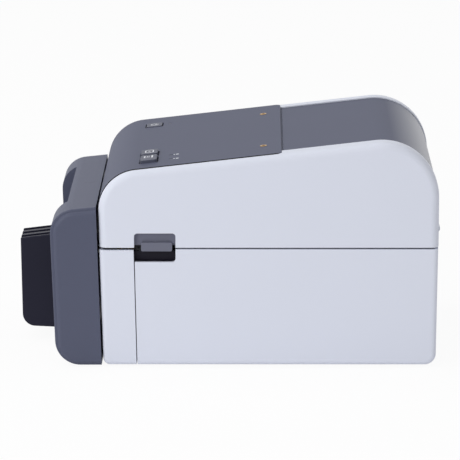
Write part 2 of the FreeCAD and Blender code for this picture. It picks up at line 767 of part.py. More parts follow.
def head_beam():
    """Steel channel across the cover, with ears for the head's pivot and the latch catches."""
    z0 = BEAM_BOTTOM_Z
    plate = box(-BEAM_HALF_WIDTH, BEAM_HALF_WIDTH, beam_front_y() + 4, BEAM_REAR_Y, z0, z0 + BEAM_THICK)
    ears = []
    for x in (-HEAD_HALF_LENGTH - 5.0, HEAD_HALF_LENGTH + 3.0):
        ears.append(box(x, x + 2, HEAD_PIVOT_Y - 6, HEAD_PIVOT_Y + 6, HEAD_PIVOT_Z - 5, z0))
    for x in (-BEAM_HALF_WIDTH, BEAM_HALF_WIDTH - 2):
        ears.append(box(x, x + 2, CATCH_Y - 4, CATCH_Y + 8, CATCH_Z - 4, z0))
    beam = joined(plate, *ears)
    beam = beam.cut(rod_x(-HEAD_HALF_LENGTH - 9, HEAD_HALF_LENGTH + 9,
                          HEAD_PIVOT_Y, HEAD_PIVOT_Z, HEAD_PIVOT_R))
    return beam.cut(rod_x(-BEAM_HALF_WIDTH - 1, BEAM_HALF_WIDTH + 1, CATCH_Y, CATCH_Z, CATCH_R))


def head_pivot():
    reach = HEAD_HALF_LENGTH + 5.0
    return rod_x(-reach - 1, reach + 1, HEAD_PIVOT_Y, HEAD_PIVOT_Z, HEAD_PIVOT_R)


def latch_catches():
    x1 = BEAM_HALF_WIDTH + CATCH_LENGTH
    return both_sides(rod_x(BEAM_HALF_WIDTH - 3, x1, CATCH_Y, CATCH_Z, CATCH_R))


def head_bracket():
    """Arm that swings on the pivot and holds the heat sink."""
    z0 = head_top_z()
    half = HEAD_HALF_LENGTH
    plate = box(-half, half, PLATEN_Y - HEAD_DEPTH / 2, HEAD_PIVOT_Y + 1, z0, z0 + 2)
    ears = [box(x, x + 2, HEAD_PIVOT_Y - 5, HEAD_PIVOT_Y + 5, z0, HEAD_PIVOT_Z + HEAD_EAR_R)
            for x in (-half, half - 2)]
    bracket = joined(plate, *ears)
    return bracket.cut(rod_x(-half - 1, half + 1, HEAD_PIVOT_Y, HEAD_PIVOT_Z, HEAD_PIVOT_R + FIT))


def head_top_z():
    return LABEL_Z + HEAD_GAP + HEAD_CERAMIC + HEAD_SINK


def heat_sink():
    z0 = LABEL_Z + HEAD_GAP + HEAD_CERAMIC
    half = HEAD_HALF_LENGTH - 1
    y0, y1 = PLATEN_Y - HEAD_DEPTH / 2, PLATEN_Y + HEAD_DEPTH / 2
    sink = box(-half, half, y0, y1, z0, z0 + HEAD_SINK)
    fins = 3
    pitch = HEAD_SINK / (fins + 1)
    grooves = [box(-half - 1, half + 1, y0 - 1, y0 + 2.5, z0 + pitch * (i + 0.8), z0 + pitch * (i + 1.2))
               for i in range(fins)]
    return sink.cut(grooves)


def print_head():
    half = HEAD_HALF_LENGTH - 2
    z0 = LABEL_Z + HEAD_GAP
    strip = box(-half, half, PLATEN_Y - HEAD_DEPTH / 2 + 1, PLATEN_Y + HEAD_DEPTH / 2 - 1,
                z0, z0 + HEAD_CERAMIC)
    return strip


def head_springs():
    """Two springs between the beam and the head's arm."""
    return both_sides(rod_z(30.0, PLATEN_Y, head_top_z() + 2 + HEAD_SPRING_GAP, BEAM_BOTTOM_Z, 3.5))


def cover_liner():
    """Dark inner shell over the label roll."""
    out = COVER_WALL + LINER_GAP
    half = HALF_WIDTH - out
    shell = prism_x(cover_inside(out), -half, half)
    inner = out + LINER_WALL
    shell = shell.cut(prism_x(cover_inside(inner, 5.0), -half + LINER_WALL, half - LINER_WALL))
    front = LINER_FRONT_Y
    shell = shell.common(box(-half - 1, half + 1, front, REAR_Y, COVER_BOTTOM_Z + 1.0, HEIGHT))
    bosses = [on_top(rod_z(x, 0, -INSERT_LENGTH - 4, 0, INSERT_R + 2.3), INSERT_Y)
              for x in (-INSERT_X, INSERT_X)]
    shell = shell.cut(bosses)
    pegs = [on_top(rod_z(x, 0, -inner / math.cos(SLOPE) - 1.5, -COVER_WALL, 2.5), y)
            for x in (LINER_PEG_ROOM - HALF_WIDTH, HALF_WIDTH - LINER_PEG_ROOM) for y in LINER_PEG_YS]
    room = prism_x(cover_inside(COVER_WALL), -HALF_WIDTH + 10, HALF_WIDTH - 10)
    return shell.fuse([p.common(room) for p in pegs]).removeSplitter()


# Hinge

def hinge_bore():
    return rod_x(-HINGE_HALF_LENGTH - 2, HINGE_HALF_LENGTH + 2, HINGE_Y, HINGE_Z, HINGE_PIN_R + FIT)


def hinge_end_reliefs():
    return both_sides(rod_x(HINGE_HALF_LENGTH, HINGE_HALF_LENGTH + 2.2, HINGE_Y, HINGE_Z, HINGE_PIN_R + 1.2))


def hinge_pin():
    pin = rod_x(-HINGE_HALF_LENGTH - 0.5, HINGE_HALF_LENGTH + 0.5, HINGE_Y, HINGE_Z, HINGE_PIN_R)
    heads = [rod_x(x, x + 1.2, HINGE_Y, HINGE_Z, HINGE_PIN_R + 0.8)
             for x in (-HINGE_HALF_LENGTH - 1.7, HINGE_HALF_LENGTH + 0.5)]
    return joined(pin, *heads)


# Lower case

def case_tub():
    tub = prism_x(case_corners(), -HALF_WIDTH, HALF_WIDTH)
    tub = soften_sides(tub, HALF_WIDTH, CASE_ROUND, lambda c: c.z > CASE_TOP_Z - 0.01)
    hollow = inset(case_corners(), [CASE_WALL, CASE_FLOOR, CASE_WALL, -1.0])
    tub = tub.cut(prism_x(hollow, -CASE_INNER_X, CASE_INNER_X))
    slot = box(-SLOT_HALF_WIDTH - 4, SLOT_HALF_WIDTH + 4, FRONT_Y - 2, FRONT_Y + 8,
               SLOT_BOTTOM_Z - 3, SEAM_HEIGHT + 5)
    return tub.cut(slot)


def split_y(z):
    """The upright joint at the front of the side wall leans with the front face."""
    return WINDOW_FRONT_Y + SPLIT_SETBACK + (WINDOW_BOTTOM_Z - z) * math.tan(math.radians(SPLIT_LEAN))


def split_region(front):
    top, low = CASE_TOP_Z - FRONT_SEAM_EXTRA if front else CASE_TOP_Z + 5, -5.0
    far = FRONT_Y - 20 if front else REAR_Y + 20
    shift = -SPLIT_GAP if front else 0.0
    return prism_x([(split_y(low) + shift, low, 0), (split_y(top) + shift, top, 0),
                    (far, top, 0), (far, low, 0)], -HALF_WIDTH - 5, HALF_WIDTH + 5)


def front_case(tub):
    shell = tub.common(split_region(True))
    return shell.cut([rod_y(x, FRONT_Y - 5, FRONT_Y + 8, z, UNIT_SCREW_R + 0.3)
                      for x, z in unit_screw_places()]).removeSplitter()


def unit_screw_places():
    return [(x, z) for x in (-UNIT_SCREW_X, UNIT_SCREW_X) for z in UNIT_SCREW_ZS]


def rear_case(tub):
    shell = tub.common(split_region(False))
    window = both_sides(window_block(WINDOW_BOTTOM_Z, SEAM_HEIGHT + 20))
    corner = both_sides(box(HALF_WIDTH - 12, HALF_WIDTH + 2, WINDOW_FRONT_Y - 2, WINDOW_FRONT_Y + 4,
                            WINDOW_BOTTOM_Z, SEAM_HEIGHT + 5))
    shell = shell.cut(window + corner)
    shell = shell.cut(socket_openings() + [media_slot()])
    shell = shell.cut(vents())
    shell = shell.cut(knuckles(1, HINGE_KNUCKLE_R + 0.4, 0.3))
    shell = shell.fuse(knuckles(0, HINGE_KNUCKLE_R))
    return shell.cut([hinge_bore()] + hinge_end_reliefs()).removeSplitter()


def vents():
    """Cooling slots through the floor under the main board."""
    y0, y1 = BOARD_Y - VENT_LENGTH * 3 / 4, BOARD_Y + VENT_LENGTH / 4
    xs = [VENT_PITCH * (i - VENTS / 2) for i in range(VENTS)]
    return [box(x, x + VENT_PITCH / 2, y0, y1, FOOT_HEIGHT - 1, FLOOR_Z + 1) for x in xs]


def media_slot():
    return box(-MEDIA_HALF_WIDTH, MEDIA_HALF_WIDTH, ROLL_Y + BAY_REACH - 5, REAR_Y + 5,
               MEDIA_BOTTOM_Z, MEDIA_TOP_Z)


def socket_openings():
    z0 = SOCKET_Z
    return [box(x - w - 0.3, x + w + 0.3, REAR_Y - 8, REAR_Y + 5, z0 - 0.3, z0 + 2 * h + 0.3)
            for x, w, h in SOCKETS.values()]


def socket(name):
    x, w, h = SOCKETS[name]
    y1 = case_rear_y(SOCKET_Z) - 0.6
    shell = box(x - w, x + w, BOARD_Y + BOARD_THICK, y1, SOCKET_Z, SOCKET_Z + 2 * h)
    bottom = y1 - SOCKET_MOUTH
    if name == "power_socket":
        shell = shell.cut(rod_y(x, bottom, y1 + 1, SOCKET_Z + h, 3.2))
        return joined(shell, rod_y(x, bottom - 0.5, y1 - 1.5, SOCKET_Z + h, 1.0))
    wide, high = w - SOCKET_WALL, h - SOCKET_WALL
    middle = SOCKET_Z + h
    shell = shell.cut(box(x - wide, x + wide, bottom, y1 + 1, middle - high, middle + high))
    if name == "network_socket":
        return shell
    tongue = box(x - 0.65 * wide, x + 0.65 * wide, bottom - 0.5, y1 - 1.5, middle - 1.2, middle + 1.2)
    return joined(shell, tongue)


def main_board():
    """Upright board behind the label bay, with its larger parts."""
    board = box(BOARD_LEFT_X, BOARD_RIGHT_X, BOARD_Y, BOARD_Y + BOARD_THICK, CHASSIS_Z + 3, BOARD_TOP_Z)
    x0, low = BOARD_LEFT_X, BOARD_LOW_Z
    coil = box(x0 + 16, x0 + 34, BOARD_Y - 4, BOARD_Y, low + 6, low + 20)
    processor = box(x0 + 46, x0 + 64, BOARD_Y - 2, BOARD_Y, low, low + 18)
    connector = box(x0 + 81, x0 + 93, BOARD_Y - 3, BOARD_Y, low + 10, low + 22)
    capacitors = [rod_y(x0 + x, BOARD_Y - 8, BOARD_Y, low, 4) for x in (100, 110)]
    return joined(board, coil, processor, connector, *capacitors)


def board_posts_rear():
    return [rod_y(x, BOARD_Y + BOARD_THICK, case_rear_y(z) - CASE_WALL, z, 3.0)
            for x, z in board_corner_places()]


def board_corner_places():
    return [(x, z) for x in (BOARD_LEFT_X + 4, BOARD_RIGHT_X - 4) for z in (12.0, BOARD_TOP_Z - 4)]


def board_screws():
    return [rod_y(x, BOARD_Y - 2, BOARD_Y, z, 2.8) for x, z in board_corner_places()]


def rubber_feet():
    return [rod_z(x, y, 0, FOOT_HEIGHT, FOOT_R) for x in (-FOOT_X, FOOT_X) for y in FOOT_YS]


def case_screws():
    """Screws with their heads sunk into the floor."""
    return [rod_z(x, y, FOOT_HEIGHT + 0.4, CHASSIS_Z - 0.2, SCREW_R).fuse(
        rod_z(x, y, FOOT_HEIGHT + 0.4, FOOT_HEIGHT + 1.6, SCREW_HEAD_R)) for x, y in case_screw_places()]


def case_screw_places():
    return [(x, y) for x in (-FLOOR_SCREW_X, FLOOR_SCREW_X) for y in FLOOR_SCREW_YS]


def case_screw_holes():
    return [rod_z(x, y, 0, 10, SCREW_R + 0.1).fuse(rod_z(x, y, 0, FOOT_HEIGHT + 1.7, SCREW_HEAD_R + CLEAR))
            for x, y in case_screw_places()]


# Latch levers

def lever_x():
    """Where the lever's plate and arm lie on the right side: outer face, inner face, arm."""
    outer = HALF_WIDTH - max(CASE_WALL, COVER_WALL) - 0.4
    arm_out = outer - LATCH_ARM_INSET
    return outer, outer - LATCH_PLATE, arm_out, arm_out - LATCH_ARM


def latch_lever():
    outer, inner, arm_out, arm_in = lever_x()
    plate = rounded_block_x(inner, outer, WINDOW_FRONT_Y - 2.0, WINDOW_REAR_Y + 7.0,
                            LATCH_PLATE_BOTTOM_Z, LATCH_PLATE_TOP_Z, 1.5)
    lip = rounded_block_x(outer - 0.5, HALF_WIDTH - LIP_OUT, LIP_FRONT_Y, LIP_REAR_Y,
                          LIP_BOTTOM_Z, LIP_TOP_Z, 1.0)
    tongue = box(outer - LATCH_PLATE, outer, LIP_FRONT_Y + 1, LIP_REAR_Y - 1, LIP_BOTTOM_Z + 1, LIP_TOP_Z)
    bridge = box(arm_in, inner + 0.5, LATCH_Y - 4, LATCH_Y + 4, WINDOW_TOP_Z - 3.5, LATCH_PLATE_TOP_Z)
    arm = box(arm_in, arm_out, LATCH_Y - 4, LATCH_Y + 4, LATCH_Z, LATCH_PLATE_TOP_Z)
    boss = rod_x(arm_in - 3, arm_out, LATCH_Y, LATCH_Z, LATCH_SHAFT_R + 3)
    hook_rear = CATCH_Y - CATCH_R - CLEAR
    hook = box(arm_in - 3.0, arm_in + 0.1, hook_rear - 3.0, LATCH_Y, CATCH_Z + CATCH_R + HOOK_ROOM,
               LATCH_PLATE_TOP_Z)
    beak = box(arm_in - 3.0, arm_in + 0.1, hook_rear - 3.0, hook_rear, CATCH_Z, LATCH_PLATE_TOP_Z)
    path = box(arm_in - 3.1, arm_in, CATCH_Y - CATCH_R - CLEAR, CATCH_Y + CATCH_R + 1.6,
               CATCH_Z - 5, LATCH_PLATE_TOP_Z + 1)
    hook = hook.fuse(beak).cut(path)
    lever = joined(plate, lip, tongue, bridge, arm, boss)
    lever = lever.fuse([s for s in hook.Solids if s.BoundBox.YMin < hook_rear - 2])
    return lever.cut(rod_x(0, HALF_WIDTH, LATCH_Y, LATCH_Z, LATCH_SHAFT_R)).removeSplitter()


def latch_shaft():
    return rod_x(-lever_x()[2], lever_x()[2], LATCH_Y, LATCH_Z, LATCH_SHAFT_R)


def finger_cup():
    """Dark cup behind the lower half of the window."""
    outer = CASE_INNER_X - 0.05
    inner = outer - CUP_DEPTH
    body = box(inner, outer, WINDOW_FRONT_Y - 1.5, WINDOW_REAR_Y + 1.5, WINDOW_BOTTOM_Z - 1.5,
               LIP_BOTTOM_Z - 1.0)
    hollow = box(inner + CUP_WALL, outer + 1, WINDOW_FRONT_Y + 0.2, WINDOW_REAR_Y - 0.2,
                 WINDOW_BOTTOM_Z + 0.2, SEAM_HEIGHT + 5)
    return body.cut(hollow)


# Label bay

def bay_corners(reach):
    flat = reach * math.tan(math.radians(22.5))
    y, z = ROLL_Y, ROLL_Z
    return [(y - reach, DECK_TOP_Z, 0), (y - reach, z - flat, 0), (y - flat, z - reach, 0),
            (y + flat, z - reach, 0), (y + reach, z - flat, 0), (y + reach, DECK_TOP_Z, 0)]


def label_bay():
    """Trough for the label roll with a deck round its mouth."""
    outer = BAY_HALF_WIDTH + BAY_WALL
    bay = prism_x(bay_corners(BAY_REACH + BAY_WALL), -outer, outer)
    deck = box(-CASE_INNER_X + CLEAR, CASE_INNER_X - CLEAR, DECK_FRONT_Y,
               case_rear_y(DECK_TOP_Z) - CASE_WALL - 0.4, DECK_TOP_Z - BAY_WALL, DECK_TOP_Z)
    bay = bay.fuse(deck)
    low = [(y, z + (3 if z >= DECK_TOP_Z else 0), r) for y, z, r in bay_corners(BAY_REACH)]
    bay = bay.cut(prism_x(low, -BAY_HALF_WIDTH, BAY_HALF_WIDTH))
    bay = bay.cut([holder_slot(-1), holder_slot(1), media_slot()])
    bay = bay.cut(rod_z(0, ROLL_Y, 0, ROLL_Z - 20, RACK_PIN_R + FIT))
    bay = bay.cut(knuckle_relief())
    return bay.removeSplitter()


def knuckle_relief():
    reach = HINGE_KNUCKLE_R + 1.0
    return rod_x(-HINGE_HALF_LENGTH - 2, HINGE_HALF_LENGTH + 2, HINGE_Y, HINGE_Z, reach)


def rack_z():
    return ROLL_Z - BAY_REACH - BAY_WALL - CLEAR - RACK_THICK


def pinion_r():
    return RACK_MODULE * RACK_PINION_TEETH / 2


def foot_y(side):
    """The roll holder's foot: the left one (side -1) runs in front of the pinion."""
    near = pinion_r() + 1.25 * RACK_MODULE + 0.5
    far = pinion_r() + 1.25 * RACK_MODULE + RACK_WIDTH
    return (ROLL_Y - far, ROLL_Y - near) if side < 0 else (ROLL_Y + near, ROLL_Y + far)


def holder_slot(side):
    y0, y1 = foot_y(side)
    x0 = -(HOLDER_INNER_X + HOLDER_THICK + CLEAR)
    x1 = x0 + HOLDER_THICK + HOLDER_TRAVEL + 2 * CLEAR
    z0 = ROLL_Z - BAY_REACH - BAY_WALL - 1
    slot = box(x0, x1, y0 - CLEAR, y1 + CLEAR, z0, z0 + BAY_WALL + 2)
    return slot if side < 0 else slot.mirror(FreeCAD.Vector(0, 0, 0), FreeCAD.Vector(1, 0, 0))


def roll_holder():
    """Left holder: an upright plate on a foot, with its rack under the bay's floor."""
    x0, x1 = -HOLDER_INNER_X - HOLDER_THICK, -HOLDER_INNER_X
    floor = ROLL_Z - BAY_REACH
    y0, y1 = foot_y(-1)
    plate = rounded_block_x(x0, x1, ROLL_Y - 22, ROLL_Y + 22, floor + CLEAR, ROLL_Z + 16, 6.0)
    foot = box(x0, x1, y0, y1, rack_z(), floor + 5)
    length = HOLDER_TRAVEL + 20
    bar = rack(length, RACK_MODULE, RACK_THICK, y1 - y0)
    bar.translate(FreeCAD.Vector(x0, ROLL_Y - pinion_r(), rack_z()))
    holder = joined(plate, foot, bar)
    holder = holder.cut(rod_x(x0 - 1, x1 + 1, ROLL_Y, ROLL_Z, HUB_PIN_R + FIT))
    return holder


def opposite(shape):
    """The same piece turned half a turn about the bay's upright middle line."""
    placed = shape.copy()
    placed.rotate(FreeCAD.Vector(0, ROLL_Y, 0), FreeCAD.Vector(0, 0, 1), 180)
    return placed


def roll_hub():
    """Free-turning hub that enters the roll's core."""
    x1 = -HOLDER_INNER_X
    x0 = x1 - HOLDER_THICK
    hub = rod_x(x1 + CLEAR, x1 + CLEAR + HUB_LENGTH, ROLL_Y, ROLL_Z, HUB_R)
    rims = [e for e in hub.Edges if e.BoundBox.XMin > x1 + CLEAR + HUB_LENGTH - 1e-6]
    hub = hub.makeChamfer(2.5, rims)
    pin = rod_x(x0 - 1.2, x1 + CLEAR + 0.1, ROLL_Y, ROLL_Z, HUB_PIN_R)
    hub = joined(hub, pin)
    spokes = [rod_x(x1 + CLEAR + 3, x1 + CLEAR + HUB_LENGTH + 1, ROLL_Y + 8 * math.cos(a),
                    ROLL_Z + 8 * math.sin(a), 2.4) for a in (math.radians(60 * i) for i in range(6))]
    return hub.cut(spokes)


def rack_pinion():
    pitch = math.pi * RACK_MODULE
    start = -HOLDER_INNER_X - HOLDER_THICK
    gap_x = start + round(-start / pitch) * pitch
    phase = math.pi + gap_x / pinion_r()
    wheel = gear(RACK_PINION_TEETH, RACK_MODULE, RACK_THICK, RACK_PIN_R + FIT, phase)
    wheel.rotate(FreeCAD.Vector(0, 0, 0), FreeCAD.Vector(0, 1, 0), -90)
    wheel.translate(FreeCAD.Vector(0, ROLL_Y, rack_z()))
    return wheel


def rack_pin():
    return rod_z(0, ROLL_Y, CHASSIS_Z, ROLL_Z - BAY_REACH + 0.6, RACK_PIN_R)


def chassis_plate():
    """Steel sheet on the case's floor that carries the printing unit."""
    plate = box(-CHASSIS_HALF_WIDTH, CHASSIS_HALF_WIDTH, FRAME_FRONT_Y + 1.8, CHASSIS_REAR_Y,
                FLOOR_Z, CHASSIS_Z)
    plate = plate.cut([rod_z(x, y, 0, 10, SCREW_R + 0.1) for x, y in case_screw_places()])
    return plate


# Printing unit

def unit_frame():
    """Steel side plates on a common foot."""
    x0, x1 = FRAME_PLATE_X, FRAME_PLATE_X + FRAME_PLATE
    side = box(x0, x1, FRAME_FRONT_Y, FRAME_REAR_Y, CHASSIS_Z, DECK_TOP_Z)
    foot = box(-x1, x1, FRAME_FRONT_Y, FRAME_FRONT_Y + 12, CHASSIS_Z, CHASSIS_Z + 1.5)
    frame = joined(foot, *both_sides(side))
    motor_y, motor_z = motor_centre()
    idler_y, idler_z = idler_centre()
    holes = [rod_x(-x1 - 1, x1 + 1, PLATEN_Y, PLATEN_Z, BEARING_R),
             rod_x(-x1 - 1, x1 + 1, LATCH_Y, LATCH_Z, LATCH_SHAFT_R + FIT),
             rod_x(-x1 - 1, x1 + 1, SENSOR_Y, SENSOR_Z, SENSOR_ROD_R),
             rod_x(-x1 - 1, -x0 + 1, motor_y, motor_z, 8.0),
             rod_x(-x1 - 1, -x0 + 1, idler_y, idler_z, IDLER_PIN_R)]
    return frame.cut(holes)


def gear_x():
    return -(FRAME_PLATE_X + FRAME_PLATE + 2.0)


def wheel_reach(a, b, module, play=0.04):
    return (a + b) * module / 2 + play


def idler_centre():
    reach = wheel_reach(PLATEN_TEETH, IDLER_TEETH, GEAR_MODULE)
    angle = math.radians(IDLER_ANGLE)
    return PLATEN_Y + reach * math.cos(angle), PLATEN_Z + reach * math.sin(angle)


def motor_centre():
    reach = wheel_reach(IDLER_TEETH, MOTOR_TEETH, GEAR_MODULE)
    angle = math.radians(MOTOR_ANGLE)
    y, z = idler_centre()
    return y + reach * math.cos(angle), z + reach * math.sin(angle)


def placed_gear(teeth, module, width, bore, phase, x, centre, hub_r=0.0, hub_width=0.0):
    wheel = gear(teeth, module, width, bore, phase, hub_r, hub_width)
    wheel.translate(FreeCAD.Vector(x, centre[0], centre[1]))
    return wheel


def feed_gears():
    """Platen gear, idler and motor pinion, in mesh."""
    idler_angle = math.radians(IDLER_ANGLE)
    motor_angle = math.radians(MOTOR_ANGLE)
    platen_phase = 0.0
    idler_phase = mesh_phase(idler_angle + math.pi, IDLER_TEETH, PLATEN_TEETH, platen_phase)
    motor_phase = mesh_phase(motor_angle + math.pi, MOTOR_TEETH, IDLER_TEETH, idler_phase)
    x = gear_x() - GEAR_WIDTH
    platen = placed_gear(PLATEN_TEETH, GEAR_MODULE, GEAR_WIDTH, PLATEN_SHAFT_R, platen_phase, x,
                         (PLATEN_Y, PLATEN_Z))
    idler = placed_gear(IDLER_TEETH, GEAR_MODULE, GEAR_WIDTH, IDLER_PIN_R + FIT, idler_phase, x,
                        idler_centre())
    motor = placed_gear(MOTOR_TEETH, GEAR_MODULE, GEAR_WIDTH, MOTOR_SHAFT_R, motor_phase, x,
                        motor_centre())
    return platen, idler, motor


def platen_roller():
    sleeve = rod_x(-PLATEN_HALF_LENGTH, PLATEN_HALF_LENGTH, PLATEN_Y, PLATEN_Z, PLATEN_R)
    return sleeve.cut(rod_x(-FRAME_PLATE_X, FRAME_PLATE_X, PLATEN_Y, PLATEN_Z, PLATEN_SHAFT_R))


def platen_shaft():
    return rod_x(gear_x() - GEAR_WIDTH - 0.5, FRAME_PLATE_X + FRAME_PLATE + 3, PLATEN_Y, PLATEN_Z,
                 PLATEN_SHAFT_R)


def platen_bearings():
    x0 = FRAME_PLATE_X
    ring = rod_x(x0 - 1.5, x0 + FRAME_PLATE, PLATEN_Y, PLATEN_Z, BEARING_R)
    flange = rod_x(x0 - 1.5, x0, PLATEN_Y, PLATEN_Z, BEARING_R + 1.0)
    bearing = joined(ring, flange).cut(rod_x(x0 - 5, x0 + 5, PLATEN_Y, PLATEN_Z, PLATEN_SHAFT_R + FIT))
    return both_sides(bearing)


def idler_pin():
    y, z = idler_centre()
    return rod_x(gear_x() - GEAR_WIDTH - 0.6, -FRAME_PLATE_X, y, z, IDLER_PIN_R).fuse(
        rod_x(gear_x() - GEAR_WIDTH - 1.4, gear_x() - GEAR_WIDTH - 0.3, y, z, IDLER_PIN_R + 1.2)).fuse(
        rod_x(gear_x() + 0.3, -FRAME_PLATE_X - FRAME_PLATE, y, z, IDLER_PIN_R + 1.2)).removeSplitter()


def feed_motor():
    """Square stepper motor on the left side plate."""
    y, z = motor_centre()
    half = MOTOR_SIZE / 2
    x0 = -FRAME_PLATE_X
    body = prism_x([(y - half, z - half, 4), (y + half, z - half, 4), (y + half, z + half, 4),
                    (y - half, z + half, 4)], x0, x0 + MOTOR_LENGTH)
    body = body.fuse(rod_x(x0 - FRAME_PLATE, x0 + 1, y, z, 7.9))
    return body.cut(rod_x(x0 - 5, x0 + MOTOR_LENGTH - 2, y, z, MOTOR_SHAFT_R + FIT)).removeSplitter()


def motor_shaft():
    y, z = motor_centre()
    return rod_x(gear_x() - GEAR_WIDTH - 0.5, -FRAME_PLATE_X + MOTOR_LENGTH - 2.3, y, z,
                 MOTOR_SHAFT_R)


def label_guide():
    """Deck between the bay and the platen, with the slot that the sensor looks through."""
    y1 = DECK_FRONT_Y - CLEAR
    y0 = PLATEN_Y + PLATEN_R + 1.0
    half = FRAME_PLATE_X - 0.2
    plate = box(-half, half, y0, y1, DECK_TOP_Z - 2, DECK_TOP_Z)
    return plate.cut(box(-52, 52, SENSOR_Y - 4, SENSOR_Y + 4, DECK_TOP_Z - 3, DECK_TOP_Z + 1))


def sensor_rod():
    reach = FRAME_PLATE_X + FRAME_PLATE
    return rod_x(-reach, reach, SENSOR_Y, SENSOR_Z, SENSOR_ROD_R)


def label_sensor():
    body = box(-8, 8, SENSOR_Y - 5, SENSOR_Y + 5, SENSOR_Z - 4, DECK_TOP_Z - 2 - CLEAR)
    eye = box(-3, 3, SENSOR_Y - 3, SENSOR_Y + 3, DECK_TOP_Z - 3, DECK_TOP_Z - 0.4)
    return joined(body, eye).cut(rod_x(-20, 20, SENSOR_Y, SENSOR_Z, SENSOR_ROD_R + FIT))


def latch_springs():
    """Springs round the latch shaft, against the side plates."""
    x0 = FRAME_PLATE_X + FRAME_PLATE
    tube = rod_x(x0 + 0.2, x0 + 7, LATCH_Y, LATCH_Z, LATCH_SHAFT_R + 1.6)
    return both_sides(tube.cut(rod_x(x0, x0 + 10, LATCH_Y, LATCH_Z, LATCH_SHAFT_R + 0.4)))


# Cutter unit

def unit_rear_y(z):
    return UNIT_REAR_Y + (SEAM_HEIGHT - z) * math.tan(math.radians(FRONT_LEAN))


def unit_front_y(z):
    return UNIT_FRONT_Y + (SEAM_HEIGHT - z) * math.tan(math.radians(UNIT_LEAN))


def unit_corners():
    """Outline of the front unit; its front and rear lines meet the sloping top."""
    slope = math.tan(math.radians(UNIT_TOP_SLOPE))
    front_top = UNIT_TOP_Z - UNIT_DEPTH * slope
    return [(unit_rear_y(UNIT_BOTTOM_Z), UNIT_BOTTOM_Z, 0),
            (unit_front_y(UNIT_BOTTOM_Z), UNIT_BOTTOM_Z, UNIT_FOOT_RADIUS),
            (unit_front_y(front_top), front_top, UNIT_HEAD_RADIUS),
            (unit_rear_y(UNIT_TOP_Z), UNIT_TOP_Z, 0)]


def cheek_corners():
    """The outer side cheeks stand a little lower and further back than the housing between."""
    return inset(unit_corners(), [UNIT_CHEEK_BOTTOM, UNIT_CHEEK_BACK, UNIT_CHEEK_LOW, 0.0])


def recess_block(grow, x_grow):
    """The pocket in the upper front, where labels come out."""
    back = UNIT_FRONT_Y + RECESS_DEPTH
    return box(-RECESS_HALF_WIDTH - x_grow, RECESS_HALF_WIDTH + x_grow, UNIT_FRONT_Y - 10, back + grow,
               RECESS_FLOOR_Z - grow, UNIT_TOP_Z + 5)


def unit_housing():
    outer = None
    holes = []
    for corners, half, radius in ((unit_corners(), UNIT_BODY_HALF_WIDTH, UNIT_BODY_ROUND),
                                  (cheek_corners(), UNIT_HALF_WIDTH, UNIT_ROUND)):
        piece = soften_sides(prism_x(corners, -half, half), half, radius,
                             lambda c: abs(c.y - unit_rear_y(c.z)) < 1e-3)
        outer = piece if outer is None else outer.fuse(piece)
        hollow = inset(corners, [UNIT_WALL, UNIT_WALL, UNIT_WALL, -1.0])
        holes.append(prism_x(hollow, -half + UNIT_WALL, half - UNIT_WALL))
    shell = outer.cut(holes)
    shell = shell.fuse(outer.common(recess_block(UNIT_WALL, UNIT_WALL)))
    shell = shell.cut(recess_block(0, 0))
    slot = box(-SLOT_HALF_WIDTH, SLOT_HALF_WIDTH, UNIT_FRONT_Y, UNIT_FRONT_Y + RECESS_DEPTH + 5,
               SLOT_BOTTOM_Z, SLOT_TOP_Z)
    window = box(-BLOCK_HALF_WIDTH + BLOCK_WALL, BLOCK_HALF_WIDTH - BLOCK_WALL, UNIT_FRONT_Y - 5,
                 UNIT_FRONT_Y + 8, BLOCK_BOTTOM_Z + 4, RECESS_FLOOR_Z - UNIT_WALL - 6)
    shell = shell.cut([slot, window])
    posts = [rod_y(x, unit_front_y(z) + 1, CUT_PLATE_Y - CUT_PLATE, z, 4.0).common(outer)
             for x, z in plate_screw_places()]
    return shell.fuse(posts).removeSplitter()


def plate_screw_places():
    x = UNIT_HALF_WIDTH - PLATE_POST_ROOM
    return [(side * x, z) for side in (-1, 1) for z in PLATE_POST_ZS]


def block_corners():
    lean = math.tan(math.radians(BLOCK_LEAN))
    top = math.tan(math.radians(BLOCK_TOP_SLOPE)) * BLOCK_REACH
    low = math.tan(math.radians(BLOCK_BOTTOM_SLOPE)) * BLOCK_REACH
    z_top, z_low = BLOCK_TOP_Z - top, BLOCK_BOTTOM_Z + low
    return [(unit_front_y(BLOCK_BOTTOM_Z), BLOCK_BOTTOM_Z, 0),
            (BLOCK_FRONT_Y + (z_top - z_low) * lean, z_low, BLOCK_RADIUS),
            (BLOCK_FRONT_Y, z_top, 1.0), (unit_front_y(BLOCK_TOP_Z), BLOCK_TOP_Z, 0)]


def gear_housing():
    """Black box on the front that covers the cutter's gears, with a ribbed top."""
    block = prism_x(block_corners(), -BLOCK_HALF_WIDTH, BLOCK_HALF_WIDTH)
    block = soften_sides(block, BLOCK_HALF_WIDTH, 0.8, lambda c: abs(c.y - unit_front_y(c.z)) < 1e-3)
    hollow = inset(block_corners(), [BLOCK_WALL, BLOCK_WALL, BLOCK_WALL + GROOVE_DEPTH, -4.0])
    inner = BLOCK_HALF_WIDTH - BLOCK_WALL
    block = block.cut(prism_x(hollow, -inner, inner))
    step = (2 * (BLOCK_HALF_WIDTH - BLOCK_RIM) - GROOVE_WIDTH) / (GROOVES - 1)
    lowered = inset(block_corners(), [-5.0, -5.0, GROOVE_DEPTH, -5.0])
    for i in range(GROOVES):
        x0 = -BLOCK_HALF_WIDTH + BLOCK_RIM + i * step
        y1 = unit_front_y(BLOCK_TOP_Z) - 0.6
        above = box(x0, x0 + GROOVE_WIDTH, BLOCK_FRONT_Y - 2, y1, BLOCK_BOTTOM_Z, BLOCK_TOP_Z + 5)
        block = block.cut(above.cut(prism_x(lowered, x0 - 1, x0 + GROOVE_WIDTH + 1)))
    return block


